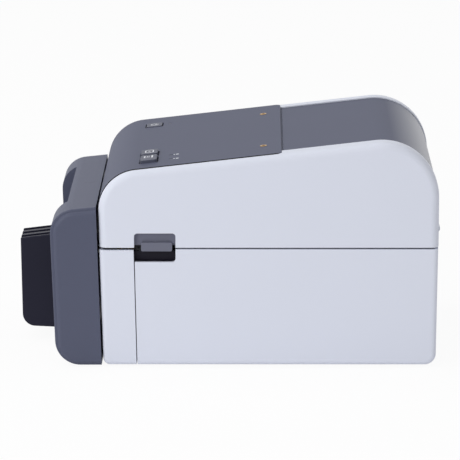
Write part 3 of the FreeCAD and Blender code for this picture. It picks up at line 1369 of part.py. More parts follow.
def cutter_plate():
    """Steel plate at the back of the unit, with ears for the shaft and the guide rods."""
    y0, y1 = CUT_PLATE_Y - CUT_PLATE, CUT_PLATE_Y
    half = CUT_PLATE_HALF_WIDTH
    plate = box(-half, half, y0, y1, 12, 104)
    slot = SLOT_HALF_WIDTH + 2
    plate = plate.cut(box(-slot, slot, y0 - 1, y1 + 1, SLOT_BOTTOM_Z - 1, BLADE_EDGE_Z))
    reach = UNIT_HALF_WIDTH - PLATE_POST_ROOM + 4.5
    tabs = [box(-reach, reach, y0, y1, z - 4.5, z + 4.5) for z in PLATE_POST_ZS]
    for z in (GUIDE_ROD_ZS[0] + 1, GUIDE_ROD_ZS[1] - 3):
        for side in (-1, 1):
            x = side * GUIDE_ROD_X
            tabs.append(box(x - 5, x + 5, rod_centre_y() - 4, y0 + 0.1, z, z + 2))
    ears = [box(x, x + 2, CUT_SHAFT_Y - 5, y0 + 0.1, CUT_SHAFT_Z - 10, CUT_SHAFT_Z + 5)
            for x in (-CUT_EAR_X, CUT_EAR_X - 2)]
    iy, iz = cut_idler_centre()
    x = CUT_GEAR_HALF_WIDTH + 2.0
    motor_ear = box(x, x + 2.0, CUT_MOTOR_Y - CUT_MOTOR_R, y0 + 0.1,
                    CUT_MOTOR_Z - CUT_MOTOR_R, CUT_MOTOR_Z + CUT_MOTOR_R + 1)
    idler_ear = box(-x - 2.0, -x, iy - 5, y0 + 0.1, iz - 6, iz + 5)
    plate = joined(plate, *tabs, *ears, motor_ear, idler_ear)
    holes = [rod_x(-half - 1, half + 1, CUT_SHAFT_Y, CUT_SHAFT_Z, CUT_SHAFT_R + FIT),
             rod_x(0, 20, CUT_MOTOR_Y, CUT_MOTOR_Z, 4.0), rod_x(-20, 0, iy, iz, CUT_IDLER_PIN_R)]
    holes += [rod_z(x, rod_centre_y(), 40, 100, GUIDE_ROD_R) for x in (-GUIDE_ROD_X, GUIDE_ROD_X)]
    holes += [rod_y(x, y0 - 5, y1 + 5, z, UNIT_SCREW_R + 0.3) for x, z in plate_screw_places()]
    return plate.cut(holes).removeSplitter()


def rod_centre_y():
    return blade_y() - BLADE_THICK - 3.5


def blade_y():
    """Rear face of the moving blade, just in front of the fixed one."""
    return CUT_PLATE_Y - CUT_PLATE - BLADE_THICK - 0.1


def guide_rods():
    return [rod_z(x, rod_centre_y(), *GUIDE_ROD_ZS, GUIDE_ROD_R) for x in (-GUIDE_ROD_X, GUIDE_ROD_X)]


def fixed_blade():
    y1 = CUT_PLATE_Y - CUT_PLATE
    half = BLADE_HALF_WIDTH - 3
    return box(-half, half, y1 - BLADE_THICK, y1, BLADE_EDGE_Z, BLADE_EDGE_Z + BLADE_HEIGHT)


def moving_blade():
    """Blade with a shallow V edge, so that it shears from the ends to the middle."""
    y1 = blade_y()
    half = BLADE_HALF_WIDTH - 4
    points = [(-half, 62), (half, 62), (half, BLADE_REST_Z), (0, BLADE_REST_Z - 2.0),
              (-half, BLADE_REST_Z)]
    vectors = [FreeCAD.Vector(x, y1 - BLADE_THICK, z) for x, z in points]
    face = Part.Face(Part.makePolygon(vectors + vectors[:1]))
    return face.extrude(FreeCAD.Vector(0, BLADE_THICK, 0))


def blade_carrier():
    y1 = blade_y() - BLADE_THICK
    y0 = y1 - CARRIER_THICK
    half = GUIDE_ROD_X + 4.5
    bar = box(-half, half, y0, y1, *CARRIER_ZS)
    gear_r = CUT_GEAR_TEETH * CUT_MODULE / 2 + CUT_MODULE
    bar = bar.cut(box(-CUT_GEAR_HALF_WIDTH - 2, CUT_GEAR_HALF_WIDTH + 2, y0 - 1, y1 + 1, 50,
                      CUT_SHAFT_Z + gear_r + 0.5))
    bar = bar.cut([rod_z(x, rod_centre_y(), 50, 90, GUIDE_ROD_R + FIT)
                   for x in (-GUIDE_ROD_X, GUIDE_ROD_X)])
    bar = bar.cut([box(x - 2, x + 2, y0 - 1, y1 + 1, 50, CUT_SHAFT_Z + 6)
                   for x in (-CUT_EAR_X + 1, CUT_EAR_X - 1)])
    pitch_y = CUT_SHAFT_Y + cut_pinion_r()
    racks = []
    for x in (-CUT_PINION_X, CUT_PINION_X):
        bar_rack = rack(28, CUT_MODULE, 7.0, y1 - pitch_y - 1.25 * CUT_MODULE)
        racks.append(upright_rack(bar_rack, x - 3.5, pitch_y))
    relief = [box(x - 4.5, x + 4.5, y0 - 1, pitch_y + 1.25 * CUT_MODULE, 55, 85)
              for x in (-CUT_PINION_X, CUT_PINION_X)]
    return joined(bar.cut(relief), *racks)


def upright_rack(shape, x, y):
    """Turns a rack along X with teeth towards +Y so that it runs up Z with teeth towards -Y."""
    placed = shape.copy()
    turn = FreeCAD.Matrix(0, 0, 1, 0, 0, -1, 0, 0, 1, 0, 0, 0, 0, 0, 0, 1)
    placed = placed.transformGeometry(turn)
    placed.translate(FreeCAD.Vector(x, y, CUT_RACK_LOW_Z))
    return placed


def cut_pinion_r():
    return CUT_PINION_TEETH * CUT_MODULE / 2


def cut_idler_centre():
    reach_motor = wheel_reach(CUT_MOTOR_TEETH, CUT_IDLER_TEETH, CUT_MODULE)
    reach_gear = wheel_reach(CUT_GEAR_TEETH, CUT_IDLER_TEETH, CUT_MODULE)
    return centre_between((CUT_MOTOR_Y, CUT_MOTOR_Z), (CUT_SHAFT_Y, CUT_SHAFT_Z),
                          reach_motor, reach_gear, 1)


def angle_from(a, b):
    return math.atan2(b[1] - a[1], b[0] - a[0])


def cutter_gears():
    """Shaft gear, idler and motor pinion of the cutter, in mesh, and the two rack pinions."""
    half = CUT_GEAR_HALF_WIDTH
    shaft = (CUT_SHAFT_Y, CUT_SHAFT_Z)
    motor = (CUT_MOTOR_Y, CUT_MOTOR_Z)
    idler = cut_idler_centre()
    shaft_phase = 0.0
    idler_phase = mesh_phase(angle_from(idler, shaft), CUT_IDLER_TEETH, CUT_GEAR_TEETH, shaft_phase)
    motor_phase = mesh_phase(angle_from(motor, idler), CUT_MOTOR_TEETH, CUT_IDLER_TEETH, idler_phase)
    x = -half + 0.5
    big = placed_gear(CUT_GEAR_TEETH, CUT_MODULE, -2 * x, CUT_SHAFT_R, shaft_phase, x, shaft)
    middle = placed_gear(CUT_IDLER_TEETH, CUT_MODULE, 2 * half, CUT_IDLER_PIN_R + FIT, idler_phase,
                         -half, idler)
    small = placed_gear(CUT_MOTOR_TEETH, CUT_MODULE, -2 * x, CUT_MOTOR_SHAFT_R, motor_phase, x, motor)
    pitch = math.pi * CUT_MODULE
    along = (CUT_SHAFT_Z - CUT_RACK_LOW_Z) / pitch
    offset = (along - math.floor(along) - 0.5) * pitch
    phase = (math.pi / CUT_PINION_TEETH) - offset / cut_pinion_r()
    pinions = [placed_gear(CUT_PINION_TEETH, CUT_MODULE, 6.0, CUT_SHAFT_R, phase, x - 3.0, shaft)
               for x in (-CUT_PINION_X, CUT_PINION_X)]
    return big, middle, small, pinions


def cutter_shaft():
    return rod_x(-CUT_EAR_X - 1.5, CUT_EAR_X + 1.5, CUT_SHAFT_Y, CUT_SHAFT_Z, CUT_SHAFT_R)


def cut_idler_pin():
    y, z = cut_idler_centre()
    half = CUT_GEAR_HALF_WIDTH
    return rod_x(-half - 4.0, half + 0.8, y, z, CUT_IDLER_PIN_R).fuse(
        rod_x(-half - 2.0, -half - CLEAR, y, z, CUT_IDLER_PIN_R + 1.5)).fuse(
        rod_x(half + CLEAR, half + 1.2, y, z, CUT_IDLER_PIN_R + 1.5)).removeSplitter()


def cutter_motor():
    x0 = CUT_GEAR_HALF_WIDTH + 4.0
    can = rod_x(x0, x0 + CUT_MOTOR_LENGTH, CUT_MOTOR_Y, CUT_MOTOR_Z, CUT_MOTOR_R)
    nose = rod_x(x0 - 2.0, x0 + 1, CUT_MOTOR_Y, CUT_MOTOR_Z, 3.9)
    return joined(can, nose).cut(rod_x(0, x0 + CUT_MOTOR_LENGTH - 3, CUT_MOTOR_Y, CUT_MOTOR_Z,
                                       CUT_MOTOR_SHAFT_R + FIT))


def cutter_motor_shaft():
    x0 = CUT_GEAR_HALF_WIDTH + 4.0
    return rod_x(-CUT_GEAR_HALF_WIDTH, x0 + CUT_MOTOR_LENGTH - 3.3, CUT_MOTOR_Y, CUT_MOTOR_Z,
                 CUT_MOTOR_SHAFT_R)


def unit_screws():
    """Screws from inside the case into the front unit."""
    screws = []
    for x, z in unit_screw_places():
        y_in = case_front_y(z - UNIT_SCREW_HEAD_R) + CASE_WALL
        shank = rod_y(x, unit_rear_y(z) - 6, y_in + 0.1, z, UNIT_SCREW_R)
        head = rod_y(x, y_in, y_in + 2.2, z, UNIT_SCREW_HEAD_R)
        screws.append(joined(shank, head))
    return screws


def unit_lugs():
    """Blocks inside the unit that the fixing screws turn into."""
    lugs = []
    inner = UNIT_HALF_WIDTH - UNIT_WALL + 0.5
    for x, z in unit_screw_places():
        x0, x1 = (x - 5, inner) if x > 0 else (-inner, x + 5)
        lug = prism_x([(unit_rear_y(z - 5), z - 5, 0), (unit_rear_y(z + 5), z + 5, 0),
                       (UNIT_REAR_Y - 10, z + 5, 0), (UNIT_REAR_Y - 10, z - 5, 0)], x0, x1)
        lugs.append(lug.cut(rod_y(x, UNIT_REAR_Y - 12, UNIT_REAR_Y + 5, z, UNIT_SCREW_R)))
    return lugs


tub = case_tub()
platen_gear, idler_gear, motor_pinion = feed_gears()
shaft_gear, cutter_idler, cutter_pinion, rack_pinions = cutter_gears()
holder = roll_holder()
hub = roll_hub()

save("front_case", front_case(tub))
save("lower_case", rear_case(tub).cut(case_screw_holes()).fuse(board_posts_rear()).removeSplitter())
save("chassis_plate", chassis_plate())
save("rubber_feet", *rubber_feet())
save("finger_cups", *both_sides(finger_cup()))
save("label_bay", label_bay())
save("label_guide", label_guide())
save("unit_frame", unit_frame())
save("platen_bearings", *platen_bearings())
save("platen_roller", platen_roller())
save("platen_shaft", platen_shaft())
save("platen_gear", platen_gear)
save("idler_gear", idler_gear)
save("feed_motor", feed_motor())
save("motor_rotor", motor_shaft(), motor_pinion)
save("guide_rods", sensor_rod(), *guide_rods())
save("label_sensor", label_sensor())
save("roll_holder_left", holder)
save("roll_holder_right", opposite(holder))
save("roll_hub_left", hub)
save("roll_hub_right", opposite(hub))
save("rack_pinion", rack_pinion())
save("main_board", main_board())
save("power_socket", socket("power_socket"))
save("data_sockets", *[socket(name) for name in SOCKETS if name != "power_socket"])
lever = latch_lever()
save("latch_lever_right", lever)
save("latch_lever_left", both_sides(lever)[1])
save("latch_shaft", latch_shaft())
save("latch_springs", *latch_springs())
save("top_cover", cover_shell())
save("front_panel", front_panel())
save("rear_strip", rear_strip())
save("cover_liner", cover_liner())
save("hinge_pin", hinge_pin())
save("power_button", button(POWER_BUTTON))
save("feed_button", button(FEED_BUTTON))
save("print_button", button(PRINT_BUTTON))
save("light_pipes", *light_pipes())
save("brass_inserts", *brass_inserts())
save("panel_board", panel_board())
save("panel_screws", *panel_screws())
save("head_beam", head_beam())
save("cover_pins", head_pivot(), *latch_catches())
save("head_bracket", head_bracket())
save("heat_sink", heat_sink())
save("print_head", print_head())
save("head_springs", *head_springs())
save("unit_housing", unit_housing().fuse(unit_lugs()).removeSplitter())
save("gear_housing", gear_housing())
save("cutter_plate", cutter_plate())
save("fixed_blade", fixed_blade())
save("moving_blade", moving_blade())
save("blade_carrier", blade_carrier())
save("cutter_shaft", cutter_shaft())
save("cutter_shaft_gears", shaft_gear, *rack_pinions)
save("cutter_idler", cutter_idler)
save("gear_pins", idler_pin(), cut_idler_pin(), rack_pin())
save("cutter_motor", cutter_motor())
save("cutter_rotor", cutter_motor_shaft(), cutter_pinion)
save("base_screws", *case_screws(), *board_screws(), *unit_screws())
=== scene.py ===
"""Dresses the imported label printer: finishes, printed symbols, small parts, floor, light and camera."""

import json
import math

import bmesh
import bpy
from bpy.props import FloatProperty, FloatVectorProperty, IntProperty, PointerProperty
from mathutils import Matrix, Vector


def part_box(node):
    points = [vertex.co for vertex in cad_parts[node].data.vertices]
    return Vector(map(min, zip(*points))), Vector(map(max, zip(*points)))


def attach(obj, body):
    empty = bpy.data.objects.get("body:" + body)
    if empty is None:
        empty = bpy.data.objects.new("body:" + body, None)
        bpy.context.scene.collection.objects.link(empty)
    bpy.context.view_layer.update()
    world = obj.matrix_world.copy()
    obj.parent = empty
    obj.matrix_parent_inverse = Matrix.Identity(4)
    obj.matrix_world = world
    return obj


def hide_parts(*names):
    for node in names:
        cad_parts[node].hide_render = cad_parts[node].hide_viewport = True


bl_info = {
    "name": "Label printer dressing",
    "version": (1, 0, 0),
    "blender": (4, 5, 0),
    "location": "View3D > Sidebar > Printer",
    "description": "Finishes, symbols, fasteners and studio for the label printer",
    "category": "Object",
}

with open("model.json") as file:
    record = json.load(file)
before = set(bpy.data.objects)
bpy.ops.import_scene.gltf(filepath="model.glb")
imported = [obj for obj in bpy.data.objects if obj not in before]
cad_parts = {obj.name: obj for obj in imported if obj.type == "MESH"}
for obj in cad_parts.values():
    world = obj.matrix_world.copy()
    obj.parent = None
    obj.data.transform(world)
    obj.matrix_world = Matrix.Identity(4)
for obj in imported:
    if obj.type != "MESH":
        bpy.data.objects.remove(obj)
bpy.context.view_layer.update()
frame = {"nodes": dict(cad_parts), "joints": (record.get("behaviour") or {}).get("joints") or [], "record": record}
NODES = frame["nodes"]
BODY_OF = {node: body for body, nodes in frame["record"]["behaviour"]["bodies"].items() for node in nodes}
JOINTS = {joint["name"]: joint for joint in frame["joints"]}
MM = 0.001
TOP_TILT = math.radians(6.5)


def linear(r, g, b):
    """A display colour from 0 to 255 as the linear colour that the shaders use."""
    def channel(value):
        value /= 255
        return value / 12.92 if value <= 0.04045 else ((value + 0.055) / 1.055) ** 2.4
    return channel(r), channel(g), channel(b)


# Finishes

class Link:
    """A shader socket that can stand in sums and products."""

    def __init__(self, finish, socket):
        self.finish = finish
        self.socket = socket

    def _sum(self, operation, first, second):
        return self.finish.node("ShaderNodeMath", {"operation": operation}, {0: first, 1: second})

    def __add__(self, other):
        return self._sum("ADD", self, other)

    def __radd__(self, other):
        return self._sum("ADD", other, self)

    def __sub__(self, other):
        return self._sum("SUBTRACT", self, other)

    def __rsub__(self, other):
        return self._sum("SUBTRACT", other, self)

    def __mul__(self, other):
        return self._sum("MULTIPLY", self, other)

    def __rmul__(self, other):
        return self._sum("MULTIPLY", other, self)

    def __truediv__(self, other):
        return self._sum("DIVIDE", self, other)

    def __pow__(self, other):
        return self._sum("POWER", self, other)

    def above(self, other):
        return self._sum("GREATER_THAN", self, other)

    def below(self, other):
        return self._sum("LESS_THAN", self, other)


class Finish:
    """A material with its principled shader, built node by node."""

    def __init__(self, name, **fixed):
        self.material = bpy.data.materials.new(name)
        self.material.use_nodes = True
        self.tree = self.material.node_tree
        self.shader = self.tree.nodes["Principled BSDF"]
        for socket, value in fixed.items():
            self.shader.inputs[socket.replace("_", " ")].default_value = value

    def node(self, kind, settings=None, inputs=None, output=0):
        made = self.tree.nodes.new(kind)
        for key, value in (settings or {}).items():
            if key == "stops":
                ramp = made.color_ramp
                while len(ramp.elements) < len(value):
                    ramp.elements.new(0.5)
                for element, (place, colour) in zip(ramp.elements, value):
                    element.position = place
                    element.color = colour
            else:
                setattr(made, key, value)
        for key, value in (inputs or {}).items():
            self.feed(made.inputs[key], value)
        return Link(self, made.outputs[output])

    def feed(self, socket, value):
        if isinstance(value, Link):
            self.tree.links.new(value.socket, socket)
        else:
            socket.default_value = value

    def place(self):
        return self.node("ShaderNodeTexCoord", output="Object")

    def axes(self):
        split = self.node("ShaderNodeSeparateXYZ", inputs={0: self.place()})
        outputs = split.socket.node.outputs
        return [Link(self, outputs[i]) for i in range(3)]

    def noise(self, scale, detail=2.0, roughness=0.5, place=None):
        return self.node("ShaderNodeTexNoise", inputs={
            "Vector": place or self.place(), "Scale": scale, "Detail": detail, "Roughness": roughness})

    def stretched(self, scale):
        return self.node("ShaderNodeMapping", inputs={"Vector": self.place(), "Scale": scale})

    def blend(self, factor, first, second):
        first, second = (tone if isinstance(tone, Link) else (*tone[:3], 1) for tone in (first, second))
        return self.node("ShaderNodeMix", {"data_type": "RGBA"}, {"Factor": factor, "A": first, "B": second},
                         output="Result")

    def colour(self, value):
        self.feed(self.shader.inputs["Base Color"], value if isinstance(value, Link) else (*value, 1))
        return self

    def rough(self, value):
        self.feed(self.shader.inputs["Roughness"], value)
        return self

    def bump(self, height, strength, distance):
        normal = self.node("ShaderNodeBump", inputs={
            "Height": height, "Strength": strength, "Distance": distance}, output="Normal")
        self.feed(self.shader.inputs["Normal"], normal)
        return self


def toned(base, share):
    return tuple(min(1.0, c * share) for c in base)


def moulded_plastic(name, base, roughness, grain=1500.0, depth=0.00004, spread=0.03, specular=0.35,
                    coat=0.0, panel=None):
    """Spark-eroded plastic: a fine matt grain and a faint change of tone."""
    finish = Finish(name, Specular_IOR_Level=specular, Coat_Weight=coat, Coat_Roughness=0.3)
    grain_height = finish.noise(grain, 3.0, 0.6)
    cloud = finish.noise(14.0, 2.0)
    tone = finish.blend(cloud, toned(base, 1 - spread), toned(base, 1 + spread))
    # Given a panel, its side walls get painted shade for the shadow in their joint, from joint_shade.
    if panel:
        tone = joint_shade(finish, tone, panel)
    finish.colour(tone)
    finish.rough(roughness - 0.04 + 0.08 * grain_height)
    finish.bump(grain_height, 0.35, depth)
    return finish.material


def joint_shade(finish, tone, node):
    """A sunk panel's side walls and the outer edges of its top are painted near-black as the shadow in their joint, and
    a coat that grows towards the rear makes its rear curve shine.
    """
    low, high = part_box(node)
    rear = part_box("rear_strip")[1][1]
    x, y, _ = finish.axes()
    # Mask of the painted shade: the outer 0.4 mm at each side across x, side walls and top edge.
    shaded_wall = finish.node("ShaderNodeMath", {"operation": "MAXIMUM"}, {
        0: x.above(high[0] - 0.4 * MM), 1: x.below(low[0] + 0.4 * MM)})
    shine = finish.node("ShaderNodeMapRange", inputs={
        "Value": y, "From Min": rear - 30 * MM, "From Max": rear - 8 * MM, "To Min": 0.12, "To Max": 0.9})
    finish.feed(finish.shader.inputs["Coat Weight"], shine)
    # Painted shade: near-black where the mask marks the side walls, standing in for the joint's shadow.
    return finish.blend(shaded_wall, tone, linear(22, 22, 28))


def brushed_metal(name, base, roughness, along=(0.02, 1.0, 1.0), metallic=1.0):
    finish = Finish(name, Metallic=metallic)
    lines = finish.noise(1800.0, 3.0, 0.6, finish.stretched(along))
    finish.colour(finish.blend(lines, toned(base, 0.86), toned(base, 1.08)))
    finish.rough(roughness - 0.08 + 0.16 * lines)
    finish.bump(lines, 0.15, 0.00002)
    return finish.material


def soft_rubber(name, base):
    finish = Finish(name, Specular_IOR_Level=0.3)
    skin = finish.noise(2600.0, 3.0, 0.6)
    finish.colour(finish.blend(finish.noise(60.0), toned(base, 0.85), toned(base, 1.25)))
    finish.rough(0.72 + 0.15 * skin)
    finish.bump(skin, 0.4, 0.00004)
    return finish.material


def circuit_board(name, base):
    """Green lacquer over thin copper tracks."""
    finish = Finish(name, Specular_IOR_Level=0.5)
    tracks = finish.node("ShaderNodeTexBrick", {"offset": 0.37, "squash": 1.6, "squash_frequency": 3}, {
        "Vector": finish.node("ShaderNodeMapping", inputs={
            "Vector": finish.place(), "Rotation": (math.radians(90), 0, 0)}),
        "Scale": 1.0, "Mortar Size": 0.00035, "Brick Width": 0.011, "Row Height": 0.0035,
        "Mortar Smooth": 0.2, "Bias": 0.0}, output="Fac")
    finish.colour(finish.blend(tracks, base, toned(base, 2.1)))
    finish.rough(0.28 + 0.12 * finish.noise(300.0))
    finish.bump(tracks, 0.3, 0.00005)
    return finish.material


def motor_stack(name, base, pitch):
    """Thin steel sheets pressed together, seen as fine lines across the motor's axis."""
    finish = Finish(name, Metallic=0.7)
    x = finish.axes()[0]
    sheets = finish.node("ShaderNodeMath", {"operation": "FRACT"}, {0: x / pitch})
    edge = sheets.below(0.2)
    finish.colour(finish.blend(edge, base, toned(base, 0.35)))
    finish.rough(0.42 + 0.15 * finish.noise(900.0))
    finish.bump(edge, 0.4, -0.00008)
    return finish.material


def frosted_lens(name, base):
    """An unlit lamp's smoky lens."""
    finish = Finish(name, Specular_IOR_Level=0.5)
    haze = finish.noise(500.0)
    finish.colour(finish.blend(haze, toned(base, 0.9), base))
    finish.rough(0.25 + 0.1 * haze)
    return finish.material


FINISHES = {}


def finish_of(name):
    return FINISHES[name]


def make_finishes(looks):
    add = FINISHES.__setitem__
    add("white_plastic", moulded_plastic("White plastic", tuple(looks.shell_colour), 0.52, spread=0.012))
    add("slate_plastic", moulded_plastic("Slate plastic", tuple(looks.panel_colour), 0.64, grain=1300.0,
                                         depth=0.00005, specular=0.1, coat=0.12))
    # The panel and strip finishes carry painted shade on their side walls, for the shadow in their joints.
    add("panel_plastic", moulded_plastic("Panel plastic", tuple(looks.panel_colour), 0.64, grain=1300.0,
                                         depth=0.00005, specular=0.1, coat=0.12, panel="front_panel"))
    add("strip_plastic", moulded_plastic("Strip plastic", tuple(looks.panel_colour), 0.64, grain=1300.0,
                                         depth=0.00005, specular=0.1, coat=0.12, panel="rear_strip"))
    add("unit_plastic", moulded_plastic("Unit plastic", tuple(looks.unit_colour), 0.6, grain=1300.0,
                                        depth=0.00005, specular=0.15, coat=0.14))
    add("black_plastic", moulded_plastic("Black plastic", tuple(looks.black_colour), 0.48, spread=0.06))
    add("block_plastic", moulded_plastic("Block plastic", linear(27, 27, 45), 0.5, spread=0.05, specular=0.1, coat=0.2))
    add("lever_plastic", moulded_plastic("Lever plastic", linear(112, 114, 130), 0.5, specular=0.25))
    add("cup_plastic", moulded_plastic("Cup plastic", linear(24, 22, 36), 0.5, specular=0.2))
    add("button_plastic", moulded_plastic("Button plastic", linear(80, 83, 100), 0.5, grain=1800.0, spread=0.02))
    add("grey_plastic", moulded_plastic("Grey plastic", linear(140, 143, 152), 0.45))
    add("gear_plastic", moulded_plastic("Gear plastic", linear(222, 219, 205), 0.35, grain=2500.0, depth=0.00001))
    add("symbol_ink", moulded_plastic("Symbol ink", linear(232, 234, 240), 0.45, depth=0.00001, spread=0.01))
    add("rubber", soft_rubber("Rubber", linear(46, 46, 50)))
    add("steel", brushed_metal("Steel sheet", linear(178, 179, 182), 0.36))
    add("ground_steel", brushed_metal("Ground steel", linear(196, 197, 200), 0.24, (1.0, 1.0, 0.02)))
    add("aluminium", brushed_metal("Aluminium", linear(200, 202, 206), 0.34))
    add("brass", brushed_metal("Brass", linear(206, 164, 92), 0.3, (1.0, 1.0, 0.05)))
    add("contact_gold", brushed_metal("Contact gold", linear(220, 178, 96), 0.25))
    add("dark_metal", motor_stack("Motor stack", linear(62, 63, 68), 0.0006))
    add("motor_cap", brushed_metal("Motor cap", linear(150, 151, 155), 0.4))
    add("green_board", circuit_board("Circuit board", linear(26, 92, 54)))
    add("chip", moulded_plastic("Chip plastic", linear(34, 34, 37), 0.5, grain=3000.0, depth=0.00001))
    add("lamp_lens", frosted_lens("Lamp lens", linear(58, 60, 70)))
    add("mark_shade", moulded_plastic("Mark shade", linear(82, 84, 100), 0.55))
    add("ceramic", moulded_plastic("Glazed ceramic", linear(214, 208, 192), 0.22, grain=900.0, depth=0.000005))
    add("heater_line", moulded_plastic("Heater line", linear(72, 60, 52), 0.2, grain=900.0, depth=0.000005))
    # Painted shadow: a near-black finish for a piece put where there is only the shade of a gap.
    add("dark_gap", moulded_plastic("Shadow plastic", linear(24, 24, 28), 0.6))


NODE_FINISH = {
    "front_case": "white_plastic", "lower_case": "white_plastic", "top_cover": "white_plastic",
    "front_panel": "panel_plastic", "rear_strip": "strip_plastic", "unit_housing": "unit_plastic",
    "gear_housing": "block_plastic", "power_button": "button_plastic", "feed_button": "button_plastic",
    "print_button": "button_plastic", "latch_lever_right": "lever_plastic", "latch_lever_left": "lever_plastic",
    "finger_cups": "cup_plastic", "label_bay": "black_plastic", "label_guide": "black_plastic",
    "cover_liner": "black_plastic", "roll_holder_left": "grey_plastic", "roll_holder_right": "grey_plastic",
    "roll_hub_left": "grey_plastic", "roll_hub_right": "grey_plastic", "label_sensor": "black_plastic",
    "rubber_feet": "rubber", "platen_roller": "rubber", "platen_shaft": "ground_steel",
    "platen_gear": "gear_plastic", "idler_gear": "gear_plastic", "rack_pinion": "gear_plastic",
    "cutter_idler": "gear_plastic", "motor_rotor": "ground_steel", "cutter_rotor": "ground_steel",
    "cutter_shaft": "ground_steel", "cutter_shaft_gears": "ground_steel", "feed_motor": "dark_metal",
    "cutter_motor": "motor_cap", "chassis_plate": "steel", "base_screws": "steel", "unit_frame": "steel",
    "platen_bearings": "brass", "gear_pins": "ground_steel", "guide_rods": "ground_steel",
    "main_board": "green_board", "panel_board": "green_board", "power_socket": "black_plastic",
    "data_sockets": "steel", "latch_springs": "steel", "hinge_pin": "ground_steel",
    "cutter_plate": "steel", "fixed_blade": "ground_steel", "moving_blade": "ground_steel",
    "blade_carrier": "steel", "light_pipes": "lamp_lens", "brass_inserts": "brass",
    "panel_screws": "steel", "head_beam": "steel", "cover_pins": "ground_steel", "head_springs": "steel",
    "latch_shaft": "ground_steel", "head_bracket": "steel", "heat_sink": "aluminium", "print_head": "ceramic",
}
# Nodes that are shown as a copy with softened edges, and the width of those edges in millimetres
SOFTENED = {
    "front_case": 0.4, "lower_case": 0.4, "top_cover": 0.4, "front_panel": 0.3, "rear_strip": 0.25,
    "unit_housing": 0.5, "gear_housing": 0.25, "latch_lever_right": 0.3, "latch_lever_left": 0.3,
    "finger_cups": 0.25, "label_bay": 0.4, "label_guide": 0.3, "cover_liner": 0.4,
    "roll_holder_left": 0.5, "roll_holder_right": 0.5, "power_button": 0.12, "feed_button": 0.12,
    "print_button": 0.12,
}


# Mesh helpers

def keep(mesh, name, body, finish, smooth=32.0, replaces=()):
    """Turns a bmesh into a piece at the origin that rides on a body."""
    data = bpy.data.meshes.new(name)
    mesh.to_mesh(data)
    mesh.free()
    for face in data.polygons:
        face.use_smooth = True
    data.set_sharp_from_angle(angle=math.radians(smooth))
    piece = bpy.data.objects.new(name, data)
    bpy.context.scene.collection.objects.link(piece)
    for one in finish if isinstance(finish, (list, tuple)) else [finish]:
        data.materials.append(finish_of(one))
    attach(piece, body)
    if replaces:
        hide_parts(*replaces)
    return piece


def merged_copy(node):
    """The node's triangles joined into one clean mesh, with flat areas as single faces."""
    mesh = bmesh.new()
    mesh.from_mesh(NODES[node].data)
    bmesh.ops.remove_doubles(mesh, verts=mesh.verts, dist=1e-6)
    bmesh.ops.dissolve_limit(mesh, angle_limit=math.radians(0.6), use_dissolve_boundaries=False,
                             verts=mesh.verts, edges=mesh.edges)
    return mesh


def soften(mesh, width, sharp=30.0, segments=2):
    edges = [e for e in mesh.edges if len(e.link_faces) == 2 and e.calc_face_angle(0.0) > math.radians(sharp)]
    if edges:
        bmesh.ops.bevel(mesh, geom=edges, offset=width, offset_type="OFFSET", segments=segments,
                        profile=0.5, affect="EDGES", clamp_overlap=True, material=-1)
    return mesh


def weigh_normals(piece):
    """Keeps the large flat faces evenly shaded where small rounded edges meet them."""
    modifier = piece.modifiers.new("Even shading", "WEIGHTED_NORMAL")
    modifier.keep_sharp = True
    modifier.weight = 80


def islands(node):
    """Lowest and highest corners of each solid of a node, from left to right and front to rear."""
    mesh = merged_copy(node)
    left = set(mesh.verts)
    found = []
    while left:
        group, edge = set(), [left.pop()]
        while edge:
            vert = edge.pop()
            group.add(vert)
            for link in vert.link_edges:
                other = link.other_vert(vert)
                if other in left:
                    left.discard(other)
                    edge.append(other)
        places = [v.co for v in group]
        found.append((Vector([min(p[i] for p in places) for i in range(3)]),
                      Vector([max(p[i] for p in places) for i in range(3)])))
    mesh.free()
    return sorted(found, key=lambda pair: (round(pair[0].x, 4), round(pair[0].y, 4), round(pair[0].z, 4)))


def span(node, direction):
    """How far a node reaches along a direction, as its least and greatest distance."""
    reach = [vert.co.dot(direction) for vert in NODES[node].data.vertices]
    return min(reach), max(reach)


def middle_of(low, high):
    return (low + high) / 2


def block(mesh, low, high, edge=0.0, turn=None, segments=2):
    """A block between two corners with rounded edges, in metres, turned by a matrix if one is given."""
    low, high = Vector(low), Vector(high)
    size = high - low
    made = bmesh.ops.create_cube(mesh, size=1.0, matrix=Matrix.Translation(middle_of(low, high))
                                 @ Matrix.Diagonal((*size, 1.0)))["verts"]
    if edge > 0:
        edges = list({e for v in made for e in v.link_edges})
        bevelled = bmesh.ops.bevel(mesh, geom=edges, offset=edge, offset_type="OFFSET", segments=segments,
                                   profile=0.5, affect="EDGES", clamp_overlap=True, material=-1)
        made = list({v for f in bevelled["faces"] for v in f.verts} | {v for v in made if v.is_valid})
    if turn:
        bmesh.ops.transform(mesh, matrix=turn, verts=made)
    return made


def turned(mesh, profile, turn, steps=32):
    """A closed lathe shape: the profile of (radius, height) points, in metres, spun about the local Z."""
    verts = [mesh.verts.new((radius, 0.0, height)) for radius, height in profile]
    edges = [mesh.edges.new(pair) for pair in zip(verts, verts[1:])]
    made = bmesh.ops.spin(mesh, geom=verts + edges, cent=(0, 0, 0), axis=(0, 0, 1), angle=math.tau,
                          steps=steps, use_merge=True)["geom_last"]
    grown = set(verts) | {v for v in made if isinstance(v, bmesh.types.BMVert)}
    frontier = list(grown)
    while frontier:
        for edge in frontier.pop().link_edges:
            for vert in edge.verts:
                if vert not in grown:
                    grown.add(vert)
                    frontier.append(vert)
    whole = list(grown)
    bmesh.ops.remove_doubles(mesh, verts=whole, dist=1e-7)
    whole = [v for v in whole if v.is_valid]
    bmesh.ops.recalc_face_normals(mesh, faces=list({f for v in whole for f in v.link_faces}))
    bmesh.ops.transform(mesh, matrix=turn, verts=whole)
    return whole


